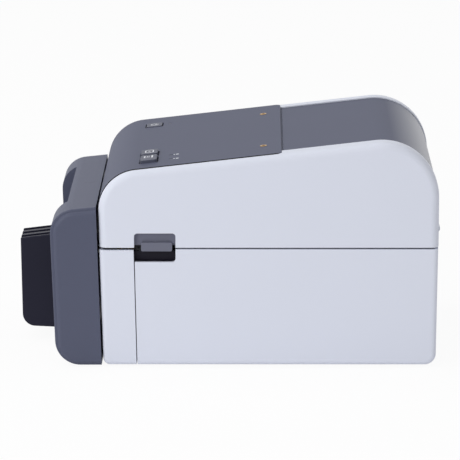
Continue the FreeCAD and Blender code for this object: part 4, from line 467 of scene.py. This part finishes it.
def arc_bar(mesh, turn, radius, width, thick, start, sweep, steps=24):
    """A flat curved bar on the local XY plane, closed at both ends unless it goes all round."""
    half = width / 2
    corners = [(radius - half, 0), (radius + half, 0), (radius + half, thick), (radius - half, thick)]
    verts = [mesh.verts.new((r, 0, h)) for r, h in corners]
    edges = [mesh.edges.new((verts[i], verts[(i + 1) % 4])) for i in range(4)]
    bmesh.ops.rotate(mesh, verts=verts, cent=(0, 0, 0), matrix=Matrix.Rotation(start, 3, "Z"))
    before = set(mesh.verts) - set(verts)
    whole_turn = sweep > math.tau - 1e-6
    last = bmesh.ops.spin(mesh, geom=verts + edges, cent=(0, 0, 0), axis=(0, 0, 1), angle=sweep,
                          steps=steps, use_merge=whole_turn)["geom_last"]
    if not whole_turn:
        bmesh.ops.contextual_create(mesh, geom=edges)
        bmesh.ops.contextual_create(mesh, geom=[e for e in last if isinstance(e, bmesh.types.BMEdge)])
    new = [v for v in mesh.verts if v not in before]
    bmesh.ops.recalc_face_normals(mesh, faces=list({f for v in new for f in v.link_faces}))
    bmesh.ops.transform(mesh, matrix=turn, verts=new)
    return new


def upright(place, direction, along=None):
    """A matrix that puts the local Z along a direction, with its origin at a place."""
    z = Vector(direction).normalized()
    x = Vector(along) if along else (Vector((1, 0, 0)) if abs(z.x) < 0.9 else Vector((0, 1, 0)))
    x = (x - z * x.dot(z)).normalized()
    y = z.cross(x)
    turn = Matrix((x, y, z)).transposed().to_4x4()
    return Matrix.Translation(Vector(place)) @ turn


def spring_coil(mesh, turn, radius, wire, height, turns, steps_per_turn=20):
    """A wire wound about the local Z from the origin upwards, with closed ends."""
    before = set(mesh.verts)
    made = bmesh.ops.create_circle(mesh, cap_ends=True, segments=8, radius=wire,
                                   matrix=Matrix.Translation((radius, 0, wire)) @ Matrix.Rotation(math.pi / 2, 4, "X"))
    verts = made["verts"]
    face = next(f for f in verts[0].link_faces if all(v in verts for v in f.verts))
    steps = int(turns * steps_per_turn)
    rise = (height - 2 * wire) / steps
    bmesh.ops.spin(mesh, geom=[face, *face.edges, *verts], cent=(0, 0, 0), axis=(0, 0, 1),
                   dvec=(0, 0, rise), angle=math.tau * turns, steps=steps, use_merge=False, use_duplicate=False)
    new = [v for v in mesh.verts if v not in before]
    bmesh.ops.recalc_face_normals(mesh, faces=list({f for v in new for f in v.link_faces}))
    bmesh.ops.transform(mesh, matrix=turn, verts=new)


def cross_recess(mesh, turn, radius, depth, arm):
    """The top of a screw's head: a flat ring round a cross-shaped hole that narrows to its floor."""
    before = set(mesh.verts)
    ring = bmesh.ops.create_circle(mesh, cap_ends=False, segments=24, radius=radius)["verts"]
    rim = {e for v in ring for e in v.link_edges}
    reach = radius * 0.66
    corners = [(reach, -arm), (reach, arm), (arm, arm), (arm, reach), (-arm, reach), (-arm, arm),
               (-reach, arm), (-reach, -arm), (-arm, -arm), (-arm, -reach), (arm, -reach), (arm, -arm)]
    verts = [mesh.verts.new((x, y, 0)) for x, y in corners]
    hole = [mesh.edges.new((verts[i], verts[(i + 1) % 12])) for i in range(12)]
    bmesh.ops.bridge_loops(mesh, edges=[*rim, *hole])
    grown = bmesh.ops.extrude_edge_only(mesh, edges=hole)["geom"]
    floor = [g for g in grown if isinstance(g, bmesh.types.BMVert)]
    bmesh.ops.scale(mesh, vec=(0.6, 0.6, 1), verts=floor)
    bmesh.ops.translate(mesh, vec=(0, 0, -depth), verts=floor)
    bmesh.ops.contextual_create(mesh, geom=[g for g in grown if isinstance(g, bmesh.types.BMEdge)])
    new = [v for v in mesh.verts if v not in before]
    bmesh.ops.transform(mesh, matrix=turn, verts=new)


def screw(mesh, seat, direction, head_r, head_h, shank_r, shank_length):
    """A pan-head screw whose head rises from its seat along the direction."""
    turn = upright(seat, direction)
    lip = head_h * 0.45
    profile = [(head_r - lip, head_h), (head_r - lip * 0.45, head_h - lip * 0.2), (head_r, head_h - lip),
               (head_r, 0.0), (shank_r, 0.0)]
    pitch = 0.6 * MM
    count = int(shank_length / pitch)
    for i in range(count):
        low = -i * pitch
        profile += [(shank_r, low - pitch * 0.1), (shank_r - 0.25 * MM, low - pitch * 0.55)]
    profile += [(shank_r - 0.25 * MM, -shank_length + 0.1 * MM), (0.0, -shank_length)]
    turned(mesh, profile, turn, 24)
    cross_recess(mesh, turn @ Matrix.Translation((0, 0, head_h)), head_r - lip, head_h * 0.55, head_r * 0.14)
    bmesh.ops.remove_doubles(mesh, verts=mesh.verts, dist=1e-6)


TOP_NORMAL = Vector((0, -math.sin(TOP_TILT), math.cos(TOP_TILT)))
TOP_BACKWARDS = Vector((0, math.cos(TOP_TILT), math.sin(TOP_TILT)))


def on_slope(x, along, height):
    """Local axes on the sloping top: X to the right, Y backwards and up, Z out of the surface."""
    turn = Matrix((Vector((1, 0, 0)), TOP_BACKWARDS, TOP_NORMAL)).transposed().to_4x4()
    return Matrix.Translation(Vector((x, 0, 0)) + TOP_BACKWARDS * along + TOP_NORMAL * height) @ turn


def top_middle(node):
    """Middle of a node's outer face on the sloping top, as x, distance backwards and height."""
    low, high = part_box(node)
    return (low[0] + high[0]) / 2, sum(span(node, TOP_BACKWARDS)) / 2, span(node, TOP_NORMAL)[1]


class Panel_Looks(bpy.types.PropertyGroup):
    shell_colour: FloatVectorProperty(
        name="Shell", description="White plastic of the case and cover", subtype="COLOR", size=3,
        min=0, max=1, default=linear(228, 232, 245))
    panel_colour: FloatVectorProperty(
        name="Top panel", description="Slate plastic of the top panel", subtype="COLOR", size=3,
        min=0, max=1, default=linear(87, 91, 111))
    unit_colour: FloatVectorProperty(
        name="Cutter unit", description="Slate plastic of the front unit", subtype="COLOR", size=3,
        min=0, max=1, default=linear(87, 91, 111))
    black_colour: FloatVectorProperty(
        name="Inner plastic", description="Black plastic of the inner pieces", subtype="COLOR", size=3,
        min=0, max=1, default=linear(38, 38, 46))


class Print_Looks(bpy.types.PropertyGroup):
    stroke: FloatProperty(name="Stroke", description="Width of the symbols' lines in millimetres", default=0.75,
                          min=0.2, max=2)
    ink: FloatProperty(name="Ink", description="Thickness of the print in millimetres", default=0.03, min=0.01,
                       max=0.2)
    power_size: FloatProperty(name="Power symbol", description="Width of the power symbol in millimetres",
                              default=4.6, min=1, max=10)
    feed_size: FloatVectorProperty(name="Feed symbol", description="Width and depth in millimetres", size=2,
                                   default=(8.0, 5.2), min=1, max=15)
    print_size: FloatVectorProperty(name="Print symbol", description="Width and depth in millimetres", size=2,
                                    default=(7.0, 5.4), min=1, max=15)
    print_shift: FloatProperty(name="Print symbol shift", description="Shift to the right in millimetres",
                               default=-2.0, min=-10, max=10)
    icon_offset: FloatProperty(name="Icon offset", description="Distance behind the lamp in millimetres",
                               default=4.8, min=2, max=10)
    mark_width: FloatProperty(name="Mark width", description="Width of the unit's mark in millimetres",
                              default=1.0, min=0.2, max=4)
    mark_length: FloatProperty(name="Mark length", description="Length of the unit's mark in millimetres",
                               default=9.0, min=2, max=15)
    mark_back: FloatProperty(name="Mark place", description="Distance from the unit's rear edge in millimetres",
                             default=3.2, min=0, max=15)
    mark_x: FloatProperty(name="Mark side", description="Place across the unit in millimetres", default=5.5,
                          min=-40, max=40)


class Spring_Looks(bpy.types.PropertyGroup):
    head_wire: FloatProperty(name="Head wire", description="Wire of the head's springs in millimetres",
                             default=0.9, min=0.3, max=2)
    head_turns: IntProperty(name="Head turns", description="Turns of the head's springs", default=4, min=2, max=12)
    latch_wire: FloatProperty(name="Latch wire", description="Wire of the latch's springs in millimetres",
                              default=0.9, min=0.3, max=2)
    latch_turns: IntProperty(name="Latch turns", description="Turns of the latch's springs", default=6, min=2,
                             max=12)


class Stage_Looks(bpy.types.PropertyGroup):
    camera_place: FloatVectorProperty(
        name="Camera", description="Where the camera stands", subtype="TRANSLATION", size=3, unit="LENGTH",
        default=(2.1763, 0.02047, 0.5809))
    focal_length: FloatProperty(
        name="Lens", description="Focal length of the camera in millimetres", default=250.55, min=20, max=600)
    world_light: FloatProperty(
        name="World", description="Strength of the light from all round", default=0.46, min=0, max=3)
    key_light: FloatProperty(
        name="Key lamp", description="Power of the large lamp above", unit="POWER", default=11.0, min=0, max=500)
    side_light: FloatProperty(
        name="Side lamp", description="Power of the lamp at the front right", unit="POWER", default=14.0, min=0,
        max=500)


def panel_looks():
    return bpy.context.scene.printer_looks


def stage_looks():
    return bpy.context.scene.printer_stage


def print_looks():
    return bpy.context.scene.printer_prints


def spring_looks():
    return bpy.context.scene.printer_springs


# Pieces

class PRINTER_OT_nodes(bpy.types.Operator):
    """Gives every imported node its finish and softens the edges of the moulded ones"""
    bl_idname = "printer.nodes"
    bl_label = "Shells and packed nodes"

    def execute(self, context):
        make_finishes(panel_looks())
        for name, node in NODES.items():
            node.data.materials.clear()
            node.data.materials.append(finish_of(NODE_FINISH[name]))
        for name, width in SOFTENED.items():
            mesh = soften(merged_copy(name), width * MM)
            weigh_normals(keep(mesh, name + "_moulding", BODY_OF[name], NODE_FINISH[name],
                               replaces=[name]))
        return {"FINISHED"}


class PRINTER_OT_symbols(bpy.types.Operator):
    """Printed symbols on the three buttons and beside the lamps"""
    bl_idname = "printer.symbols"
    bl_label = "Button symbols"

    def execute(self, context):
        looks = print_looks()
        stroke, ink = looks.stroke * MM, looks.ink * MM
        size = looks.power_size * MM

        x, along, height = top_middle("power_button")
        mesh = bmesh.new()
        turn = on_slope(x, along, height)
        gap = math.radians(38)
        arc_bar(mesh, turn, size / 2, stroke, ink, math.pi / 2 + gap, math.tau - 2 * gap)
        block(mesh, (-stroke / 2, 0.1 * size, 0), (stroke / 2, 0.72 * size, ink), turn=turn)
        keep(mesh, "power_symbol", BODY_OF["power_button"], "symbol_ink")

        x, along, height = top_middle("feed_button")
        mesh = bmesh.new()
        turn = on_slope(x, along, height)
        wide, deep = looks.feed_size[0] * MM / 2, looks.feed_size[1] * MM / 2
        frame_bars(mesh, turn, wide, deep, stroke, ink)
        arrow(mesh, turn, 0.45 * deep, stroke, ink)
        keep(mesh, "feed_symbol", BODY_OF["feed_button"], "symbol_ink")

        x, along, height = top_middle("print_button")
        mesh = bmesh.new()
        turn = on_slope(x + looks.print_shift * MM, along, height)
        wide, deep = looks.print_size[0] * MM / 2, looks.print_size[1] * MM / 2
        for place, share, width in ((-1.0, 0.8, 1.3), (-0.35, 0.6, 0.6), (0.1, 0.6, 0.6), (0.9, 1.0, 1.5)):
            y = place * deep
            block(mesh, (-wide * share, y - stroke * width / 2, 0), (wide * share, y + stroke * width / 2, ink),
                  turn=turn)
        keep(mesh, "print_symbol", BODY_OF["print_button"], "symbol_ink")

        mesh = bmesh.new()
        height = span("front_panel", TOP_NORMAL)[1]
        for low, high in islands("light_pipes")[1:]:
            x = (low.x + high.x) / 2
            along = lamp_along(low, high)
            turn = on_slope(x, along + looks.icon_offset * MM, height)
            block(mesh, (-0.8 * MM, -1.9 * MM, 0), (0.8 * MM, -0.9 * MM, ink), turn=turn)
            block(mesh, (-1.1 * MM, -0.2 * MM, 0), (1.1 * MM, 1.6 * MM, ink), turn=turn)
        keep(mesh, "lamp_icons", BODY_OF["front_panel"], "symbol_ink")
        return {"FINISHED"}


def lamp_along(low, high):
    """Distance backwards along the slope of a lamp's upright rod, measured at its top."""
    return TOP_BACKWARDS.dot(Vector((0, low.y, high.z)))


def frame_bars(mesh, turn, wide, deep, stroke, ink):
    """A rounded outline like a label's, lying on the local plane."""
    corner = deep * 0.6
    for side_x in (-1, 1):
        for side_y in (-1, 1):
            start = {(1, 1): 0, (-1, 1): 90, (-1, -1): 180, (1, -1): 270}[side_x, side_y]
            shift = Matrix.Translation((side_x * (wide - corner), side_y * (deep - corner), 0))
            arc_bar(mesh, turn @ shift, corner, stroke, ink, math.radians(start), math.pi / 2, 6)
    half = stroke / 2
    for side in (-1, 1):
        block(mesh, (-wide + corner, side * deep - half, 0), (wide - corner, side * deep + half, ink), turn=turn)
        block(mesh, (side * wide - half, -deep + corner, 0), (side * wide + half, deep - corner, ink), turn=turn)


def arrow(mesh, turn, reach, stroke, ink):
    """A small solid triangle that points to the front."""
    made = bmesh.ops.create_cone(mesh, cap_ends=True, segments=3, radius1=reach, radius2=reach, depth=ink,
                                 matrix=Matrix.Rotation(math.pi, 4, "Z"))["verts"]
    bmesh.ops.transform(mesh, matrix=turn @ Matrix.Translation((0, 0, ink / 2)), verts=made)


class PRINTER_OT_screws(bpy.types.Operator):
    """Cross-head screws of the case, the boards and the cutter unit"""
    bl_idname = "printer.screws"
    bl_label = "Screws"

    def execute(self, context):
        mesh = bmesh.new()
        for low, high in islands("base_screws"):
            size = high - low
            centre = middle_of(low, high)
            if size.y < 3 * MM:
                screw(mesh, (centre.x, high.y, centre.z), (0, -1, 0), size.x / 2, size.y, 1.4 * MM, 0.4 * MM)
            elif size.y > 1.5 * size.x:
                head = 2.2 * MM
                screw(mesh, (centre.x, high.y - head, centre.z), (0, 1, 0), size.x / 2, head, 2.0 * MM,
                      size.y - head)
            else:
                head = 1.2 * MM
                screw(mesh, (centre.x, centre.y, low.z + head), (0, 0, -1), size.x / 2, head, 1.5 * MM,
                      size.z - head)
        keep(mesh, "case_screw_set", BODY_OF["base_screws"], "steel", replaces=["base_screws"])
        mesh = bmesh.new()
        head = 1.8 * MM
        for low, high in islands("panel_screws"):
            centre = middle_of(low, high)
            screw(mesh, centre + TOP_NORMAL * head / 2, -TOP_NORMAL, 2.4 * MM, head, 1.4 * MM, 0.3 * MM)
        keep(mesh, "board_screw_set", BODY_OF["panel_screws"], "steel", replaces=["panel_screws"])
        return {"FINISHED"}


class PRINTER_OT_springs(bpy.types.Operator):
    """Wound springs of the print head and of the latch"""
    bl_idname = "printer.springs"
    bl_label = "Springs"

    def execute(self, context):
        looks = spring_looks()
        mesh = bmesh.new()
        for low, high in islands("head_springs"):
            centre = middle_of(low, high)
            wire = looks.head_wire * MM / 2
            spring_coil(mesh, upright((centre.x, centre.y, low.z), (0, 0, 1)), (high.x - low.x) / 2 - wire,
                        wire, high.z - low.z, looks.head_turns)
        keep(mesh, "head_coils", BODY_OF["head_springs"], "ground_steel", replaces=["head_springs"])
        mesh = bmesh.new()
        for low, high in islands("latch_springs"):
            centre = middle_of(low, high)
            wire = looks.latch_wire * MM / 2
            spring_coil(mesh, upright((low.x, centre.y, centre.z), (1, 0, 0)), (high.y - low.y) / 2 - wire,
                        wire, high.x - low.x, looks.latch_turns)
        keep(mesh, "latch_coils", BODY_OF["latch_springs"], "ground_steel", replaces=["latch_springs"])
        return {"FINISHED"}


class PRINTER_OT_feet(bpy.types.Operator):
    """Rubber feet with a rounded rim and two rings underneath"""
    bl_idname = "printer.feet"
    bl_label = "Feet"

    def execute(self, context):
        mesh = bmesh.new()
        for low, high in islands("rubber_feet"):
            r, h = (high.x - low.x) / 2, high.z - low.z
            rim = 0.4 * MM
            profile = [(0, 0), (0.3 * r, 0), (0.33 * r, 0.4 * h), (0.42 * r, 0.4 * h), (0.45 * r, 0),
                       (0.62 * r, 0), (0.65 * r, 0.4 * h), (0.74 * r, 0.4 * h), (0.77 * r, 0),
                       (r - rim, 0), (r - 0.3 * rim, 0.3 * rim), (r, rim), (r, h), (0, h)]
            centre = middle_of(low, high)
            turned(mesh, profile, Matrix.Translation((centre.x, centre.y, low.z)), 40)
        keep(mesh, "ringed_feet", BODY_OF["rubber_feet"], "rubber", replaces=["rubber_feet"])
        return {"FINISHED"}


class PRINTER_OT_boards(bpy.types.Operator):
    """Main board and switch board with their components"""
    bl_idname = "printer.boards"
    bl_label = "Boards"

    def execute(self, context):
        self.main_board()
        self.switch_board()
        return {"FINISHED"}

    def main_board(self):
        body = BODY_OF["main_board"]
        low, high = (Vector(corner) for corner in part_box("main_board"))
        face = high.y - 1.6 * MM
        mesh = bmesh.new()
        block(mesh, (low.x, face, low.z), high, 0.15 * MM)
        keep(mesh, "board_slab", body, "green_board", replaces=["main_board"])

        def at(x0, x1, z0, z1, depth):
            return ((x0 * MM, face - depth * MM, z0 * MM), (x1 * MM, face, z1 * MM))

        mesh = bmesh.new()
        block(mesh, *at(-30, -12, 30, 48, 2.0), 0.3 * MM)
        block(mesh, *at(-60, -42, 36, 50, 4.0), 1.4 * MM, segments=4)
        for x, z in ((-66, 22), (-56, 22), (-24, 18), (-14, 18), (10, 24)):
            block(mesh, *at(x, x + 5, z, z + 4, 1.4), 0.2 * MM)
        keep(mesh, "board_chips", body, "chip")

        mesh = bmesh.new()
        pins = 18
        for i in range(pins):
            shift = (i - (pins - 1) / 2) * 0.9
            for x0, x1, z0, z1 in ((-21 + shift - 0.2, -21 + shift + 0.2, 28.8, 30.2),
                                   (-21 + shift - 0.2, -21 + shift + 0.2, 47.8, 49.2),
                                   (-31.2, -29.8, 39 + shift - 0.2, 39 + shift + 0.2),
                                   (-12.2, -10.8, 39 + shift - 0.2, 39 + shift + 0.2)):
                block(mesh, *at(x0, x1, z0, z1, 0.5))
        for i in range(6):
            block(mesh, *at(6.6 + 1.6 * i, 7.2 + 1.6 * i, 45.7, 46.3, 2.9))
        for x in (-61.2, -42.2):
            block(mesh, *at(x, x + 1.4, 38, 48, 1.0))
        keep(mesh, "board_pins", body, "contact_gold")

        mesh = bmesh.new()
        for x0, x1, z0, z1 in ((5, 17, 40, 41.2), (5, 17, 50.8, 52), (5, 6, 41.2, 50.8), (16, 17, 41.2, 50.8)):
            block(mesh, *at(x0, x1, z0, z1, 3.0), 0.2 * MM)
        keep(mesh, "board_header", body, "gear_plastic")

        for x in (24, 34):
            turn = upright((x * MM, face, 30 * MM), (0, -1, 0))
            mesh = bmesh.new()
            turned(mesh, [(0, 0), (3.9 * MM, 0), (4.0 * MM, 0.3 * MM), (4.0 * MM, 1.2 * MM), (3.7 * MM, 1.5 * MM),
                          (4.0 * MM, 1.8 * MM), (4.0 * MM, 7.4 * MM), (3.6 * MM, 7.8 * MM), (0, 7.8 * MM)], turn)
            keep(mesh, "capacitor_sleeve_%d" % x, body, "chip")
            mesh = bmesh.new()
            turned(mesh, [(0, 7.7 * MM), (3.3 * MM, 7.7 * MM), (3.2 * MM, 8.0 * MM), (0, 8.0 * MM)], turn)
            keep(mesh, "capacitor_top_%d" % x, body, "aluminium")

    def switch_board(self):
        body = BODY_OF["panel_board"]
        low, high = (Vector(corner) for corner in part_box("panel_board"))
        front, rear = span("panel_board", TOP_BACKWARDS)
        under = span("panel_board", TOP_NORMAL)[0]
        face = 1.6 * MM
        turn = on_slope(0, 0, under)
        mesh = bmesh.new()
        block(mesh, (low.x, front, 0), (high.x, rear, face), 0.15 * MM, turn)
        keep(mesh, "switch_slab", body, "green_board", replaces=["panel_board"])
        cases, plungers = bmesh.new(), bmesh.new()
        half = 3.0 * MM
        for name in ("power_button", "feed_button", "print_button"):
            x, along, _ = top_middle(name)
            block(cases, (x - half, along - half, face), (x + half, along + half, face + 1.3 * MM), 0.2 * MM, turn)
            turned(plungers, [(0, 0), (1.75 * MM, 0), (1.75 * MM, 0.4 * MM), (1.55 * MM, 0.6 * MM), (0, 0.6 * MM)],
                   turn @ Matrix.Translation((x, along, face + 1.3 * MM)))
        for i in range(9):
            x = (-52 + 11 * i) * MM
            block(cases, (x, rear - 5 * MM, face), (x + 1.6 * MM, rear - 4.2 * MM, face + 0.5 * MM), 0.1 * MM, turn)
        keep(cases, "switch_cases", body, "steel")
        keep(plungers, "switch_plungers", body, "chip")


class PRINTER_OT_sockets(bpy.types.Operator):
    """Tongues and contacts inside the rear sockets"""
    bl_idname = "printer.sockets"
    bl_label = "Sockets"

    def execute(self, context):
        body = BODY_OF["data_sockets"]
        tongues, contacts = bmesh.new(), bmesh.new()
        for low, high in islands("data_sockets"):
            centre = middle_of(low, high)
            wide = (high.x - low.x) / 2 - 0.8 * MM
            if high.z - low.z < 9 * MM:
                top = centre.z + 1.25 * MM
                block(tongues, (centre.x - 0.66 * wide, high.y - 9.2 * MM, centre.z - 1.25 * MM),
                      (centre.x + 0.66 * wide, high.y - 1.4 * MM, top), 0.2 * MM)
                for i in range(4):
                    x = centre.x + (i - 1.5) * 0.36 * wide
                    block(contacts, (x - 0.4 * MM, high.y - 8.4 * MM, top - 0.05 * MM),
                          (x + 0.4 * MM, high.y - 1.8 * MM, top + 0.1 * MM), 0.04 * MM)
            else:
                for i in range(8):
                    x = centre.x + (i - 3.5) * 1.02 * MM
                    turn = Matrix.Translation((x, high.y - 1.6 * MM, high.z - 1.2 * MM)) @ Matrix.Rotation(
                        math.radians(28), 4, "X")
                    block(contacts, (-0.2 * MM, -7.0 * MM, -0.15 * MM), (0.2 * MM, 0, 0.15 * MM), 0.05 * MM, turn)
        keep(tongues, "socket_tongues", body, "chip")
        keep(contacts, "socket_contacts", body, "contact_gold")

        low, high = (Vector(corner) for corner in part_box("power_socket"))
        centre = middle_of(low, high)
        mesh = bmesh.new()
        turned(mesh, [(0, 0), (1.06 * MM, 0), (1.06 * MM, 6.6 * MM), (0.8 * MM, 7.3 * MM), (0, 7.6 * MM)],
               upright((centre.x, high.y - 9.0 * MM, centre.z), (0, 1, 0)))
        turned(mesh, [(3.0 * MM, 0), (3.15 * MM, 0), (3.15 * MM, 8.0 * MM), (2.7 * MM, 8.0 * MM), (2.7 * MM, 7.6 * MM),
                      (3.0 * MM, 7.4 * MM), (3.0 * MM, 0)],
               upright((centre.x, high.y - 8.6 * MM, centre.z), (0, 1, 0)))
        keep(mesh, "power_pin", BODY_OF["power_socket"], "ground_steel")
        return {"FINISHED"}


class PRINTER_OT_motors(bpy.types.Operator):
    """Stepper motor with its pressed sheets between two end caps, and the cutter's motor"""
    bl_idname = "printer.motors"
    bl_label = "Motors"

    def execute(self, context):
        low, high = (Vector(corner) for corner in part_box("feed_motor"))
        mesh = merged_copy("feed_motor")
        near, far = low.x + 11 * MM, high.x - 9 * MM
        self.band(mesh, (near, far))
        soften(mesh, 0.4 * MM)
        for face in mesh.faces:
            face.material_index = 0 if near < face.calc_center_median().x < far else 1
        keep(mesh, "feed_motor_case", BODY_OF["feed_motor"], ["dark_metal", "motor_cap"],
             replaces=["feed_motor"])
        low, high = (Vector(corner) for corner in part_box("cutter_motor"))
        mesh = merged_copy("cutter_motor")
        cap = high.x - 6 * MM
        self.band(mesh, (cap,))
        soften(mesh, 0.5 * MM)
        for face in mesh.faces:
            face.material_index = 1 if face.calc_center_median().x > cap else 0
        keep(mesh, "cutter_motor_case", BODY_OF["cutter_motor"], ["motor_cap", "chip"],
             replaces=["cutter_motor"])
        return {"FINISHED"}

    def band(self, mesh, places):
        for x in places:
            bmesh.ops.bisect_plane(mesh, geom=[*mesh.verts, *mesh.edges, *mesh.faces], dist=1e-7,
                                   plane_co=(x, 0, 0), plane_no=(1, 0, 0))


class PRINTER_OT_print_head(bpy.types.Operator):
    """Heater line and driver strip under the print head"""
    bl_idname = "printer.print_head"
    bl_label = "Print head"

    def execute(self, context):
        low, high = (Vector(corner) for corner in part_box("print_head"))
        body = BODY_OF["print_head"]
        mesh = bmesh.new()
        y = (low.y + high.y) / 2
        block(mesh, (low.x + 1 * MM, y - 0.35 * MM, low.z - 0.04 * MM), (high.x - 1 * MM, y + 0.35 * MM, low.z + 0.1 * MM),
              0.03 * MM)
        keep(mesh, "heater_line", body, "heater_line")
        mesh = bmesh.new()
        block(mesh, (low.x + 2 * MM, y + 3.4 * MM, low.z - 0.25 * MM), (high.x - 2 * MM, y + 5.6 * MM, low.z + 0.1 * MM),
              0.14 * MM, segments=3)
        keep(mesh, "driver_strip", body, "chip")
        return {"FINISHED"}


class PRINTER_OT_unit_mark(bpy.types.Operator):
    """Shallow mark in the top of the cutter unit, over the middle of the label"""
    bl_idname = "printer.unit_mark"
    bl_label = "Centre mark"

    def execute(self, context):
        looks = print_looks()
        slope = math.radians(6.0)
        normal = Vector((0, -math.sin(slope), math.cos(slope)))
        back = Vector((0, math.cos(slope), math.sin(slope)))
        height = span("unit_housing", normal)[1]
        rear = span("unit_housing", back)[1]
        turn = Matrix((Vector((1, 0, 0)), back, normal)).transposed().to_4x4()
        turn = Matrix.Translation(back * (rear - looks.mark_back * MM) + normal * height) @ turn
        mesh = bmesh.new()
        half, length, x = looks.mark_width * MM / 2, looks.mark_length * MM, looks.mark_x * MM
        block(mesh, (x - half, -length, -0.2 * MM), (x + half, 0, 0.015 * MM), 0.0, turn)
        keep(mesh, "centre_mark", BODY_OF["unit_housing"], "mark_shade")
        return {"FINISHED"}


class PRINTER_OT_stage(bpy.types.Operator):
    """Pale floor, soft light and the camera of the photograph"""
    bl_idname = "printer.stage"
    bl_label = "Floor, light and camera"

    def execute(self, context):
        scene = context.scene
        looks = stage_looks()
        mesh = bmesh.new()
        bmesh.ops.create_grid(mesh, x_segments=1, y_segments=1, size=6.0)
        data = bpy.data.meshes.new("Floor")
        mesh.to_mesh(data)
        mesh.free()
        floor = bpy.data.objects.new("Floor", data)
        scene.collection.objects.link(floor)
        data.materials.append(floor_finish().material)
        studio_world(scene, looks.world_light)

        def lamp(name, place, aim, size, power):
            light = bpy.data.lights.new(name, "AREA")
            light.shape = "SQUARE"
            light.size = size
            light.energy = power
            piece = bpy.data.objects.new(name, light)
            scene.collection.objects.link(piece)
            piece.location = place
            piece.rotation_euler = (Vector(aim) - Vector(place)).to_track_quat("-Z", "Y").to_euler()
        lamp("Key lamp", (-0.2, -0.9, 1.7), (0, 0, 0.08), 1.4, looks.key_light)
        lamp("Side lamp", (1.7, -1.2, 0.9), (0, 0, 0.08), 1.0, looks.side_light)

        data = bpy.data.cameras.new("Camera")
        data.sensor_width = 36.0
        data.lens = looks.focal_length
        data.clip_start, data.clip_end = 0.05, 50.0
        camera = bpy.data.objects.new("Camera", data)
        scene.collection.objects.link(camera)
        scene.camera = camera
        camera.matrix_world = camera_matrix(looks)
        scene.view_settings.view_transform = "Standard"
        return {"FINISHED"}


def shown_white(maker):
    """1 for the rays of the camera, of reflections and of glass, which see a white studio."""
    seen = [maker("ShaderNodeLightPath", output=name)
            for name in ("Is Camera Ray", "Is Glossy Ray", "Is Transmission Ray")]
    return maker("ShaderNodeMath", {"operation": "MAXIMUM"}, {
        0: seen[0], 1: maker("ShaderNodeMath", {"operation": "MAXIMUM"}, {0: seen[1], 1: seen[2]})})


def floor_finish():
    """Matt white card that the camera sees as white, with the object's shadow on it."""
    finish = Finish("Pale floor", Specular_IOR_Level=0.0, Roughness=0.9)
    finish.colour(linear(252, 252, 253))
    glow = finish.node("ShaderNodeEmission", inputs={"Color": (1, 1, 1, 1), "Strength": 1.0})
    share = shown_white(finish.node) * 0.93
    surface = finish.node("ShaderNodeMixShader", inputs={0: share})
    mixer = surface.socket.node
    finish.tree.links.new(finish.shader.outputs[0], mixer.inputs[1])
    finish.tree.links.new(glow.socket, mixer.inputs[2])
    finish.tree.links.new(surface.socket, finish.tree.nodes["Material Output"].inputs["Surface"])
    return finish


class Studio(Finish):
    """The world's nodes, built in the same way as a finish."""

    def __init__(self, world):
        world.use_nodes = True
        self.material = world
        self.tree = world.node_tree
        self.shader = self.tree.nodes["Background"]


def studio_world(scene, strength):
    world = bpy.data.worlds.new("Studio")
    scene.world = world
    studio = Studio(world)
    studio.shader.inputs["Color"].default_value = (1, 1, 1, 1)
    studio.shader.inputs["Strength"].default_value = strength
    backdrop = studio.node("ShaderNodeBackground", inputs={"Color": (1, 1, 1, 1), "Strength": 1.0})
    surface = studio.node("ShaderNodeMixShader", inputs={0: shown_white(studio.node)})
    mixer = surface.socket.node
    studio.tree.links.new(studio.shader.outputs[0], mixer.inputs[1])
    studio.tree.links.new(backdrop.socket, mixer.inputs[2])
    studio.tree.links.new(surface.socket, studio.tree.nodes["World Output"].inputs["Surface"])


def camera_matrix(looks):
    """The view in which lines along X run to the vanishing point 29 right and 745 above the middle."""
    into = Vector((29.0, -745.0, looks.focal_length / 36.0 * 460.0)).normalized()
    up = Vector((0, -1, 0))
    up = (up - into * up.dot(into)).normalized()
    x_axis, z_axis = -into, up
    y_axis = z_axis.cross(x_axis)
    # Rows are the camera's right, down and forward directions in the object's axes
    right = Vector((x_axis.x, y_axis.x, z_axis.x))
    down = Vector((x_axis.y, y_axis.y, z_axis.y))
    ahead = Vector((x_axis.z, y_axis.z, z_axis.z))
    turn = Matrix((right, -down, -ahead)).transposed().to_4x4()
    return Matrix.Translation(Vector(looks.camera_place)) @ turn


class PRINTER_PT_panel(bpy.types.Panel):
    """The operators that dress the printer"""
    bl_idname = "PRINTER_PT_panel"
    bl_label = "Label printer"
    bl_space_type = "VIEW_3D"
    bl_region_type = "UI"
    bl_category = "Printer"

    def draw(self, context):
        for operator in OPERATORS:
            self.layout.operator(operator.bl_idname)


OPERATORS = [PRINTER_OT_nodes, PRINTER_OT_symbols, PRINTER_OT_screws, PRINTER_OT_springs, PRINTER_OT_feet,
             PRINTER_OT_boards, PRINTER_OT_sockets, PRINTER_OT_motors, PRINTER_OT_print_head,
             PRINTER_OT_unit_mark, PRINTER_OT_stage]
SETTINGS = {"printer_looks": Panel_Looks, "printer_prints": Print_Looks, "printer_springs": Spring_Looks,
            "printer_stage": Stage_Looks}
CLASSES = [*SETTINGS.values(), *OPERATORS, PRINTER_PT_panel]


def register():
    for one in CLASSES:
        bpy.utils.register_class(one)
    for name, group in SETTINGS.items():
        setattr(bpy.types.Scene, name, PointerProperty(type=group))


def unregister():
    for name in SETTINGS:
        delattr(bpy.types.Scene, name)
    for one in reversed(CLASSES):
        bpy.utils.unregister_class(one)


def main():
    register()
    for operator in OPERATORS:
        group, name = operator.bl_idname.split(".")
        getattr(getattr(bpy.ops, group), name)()


if __name__ == "__main__":
    main()
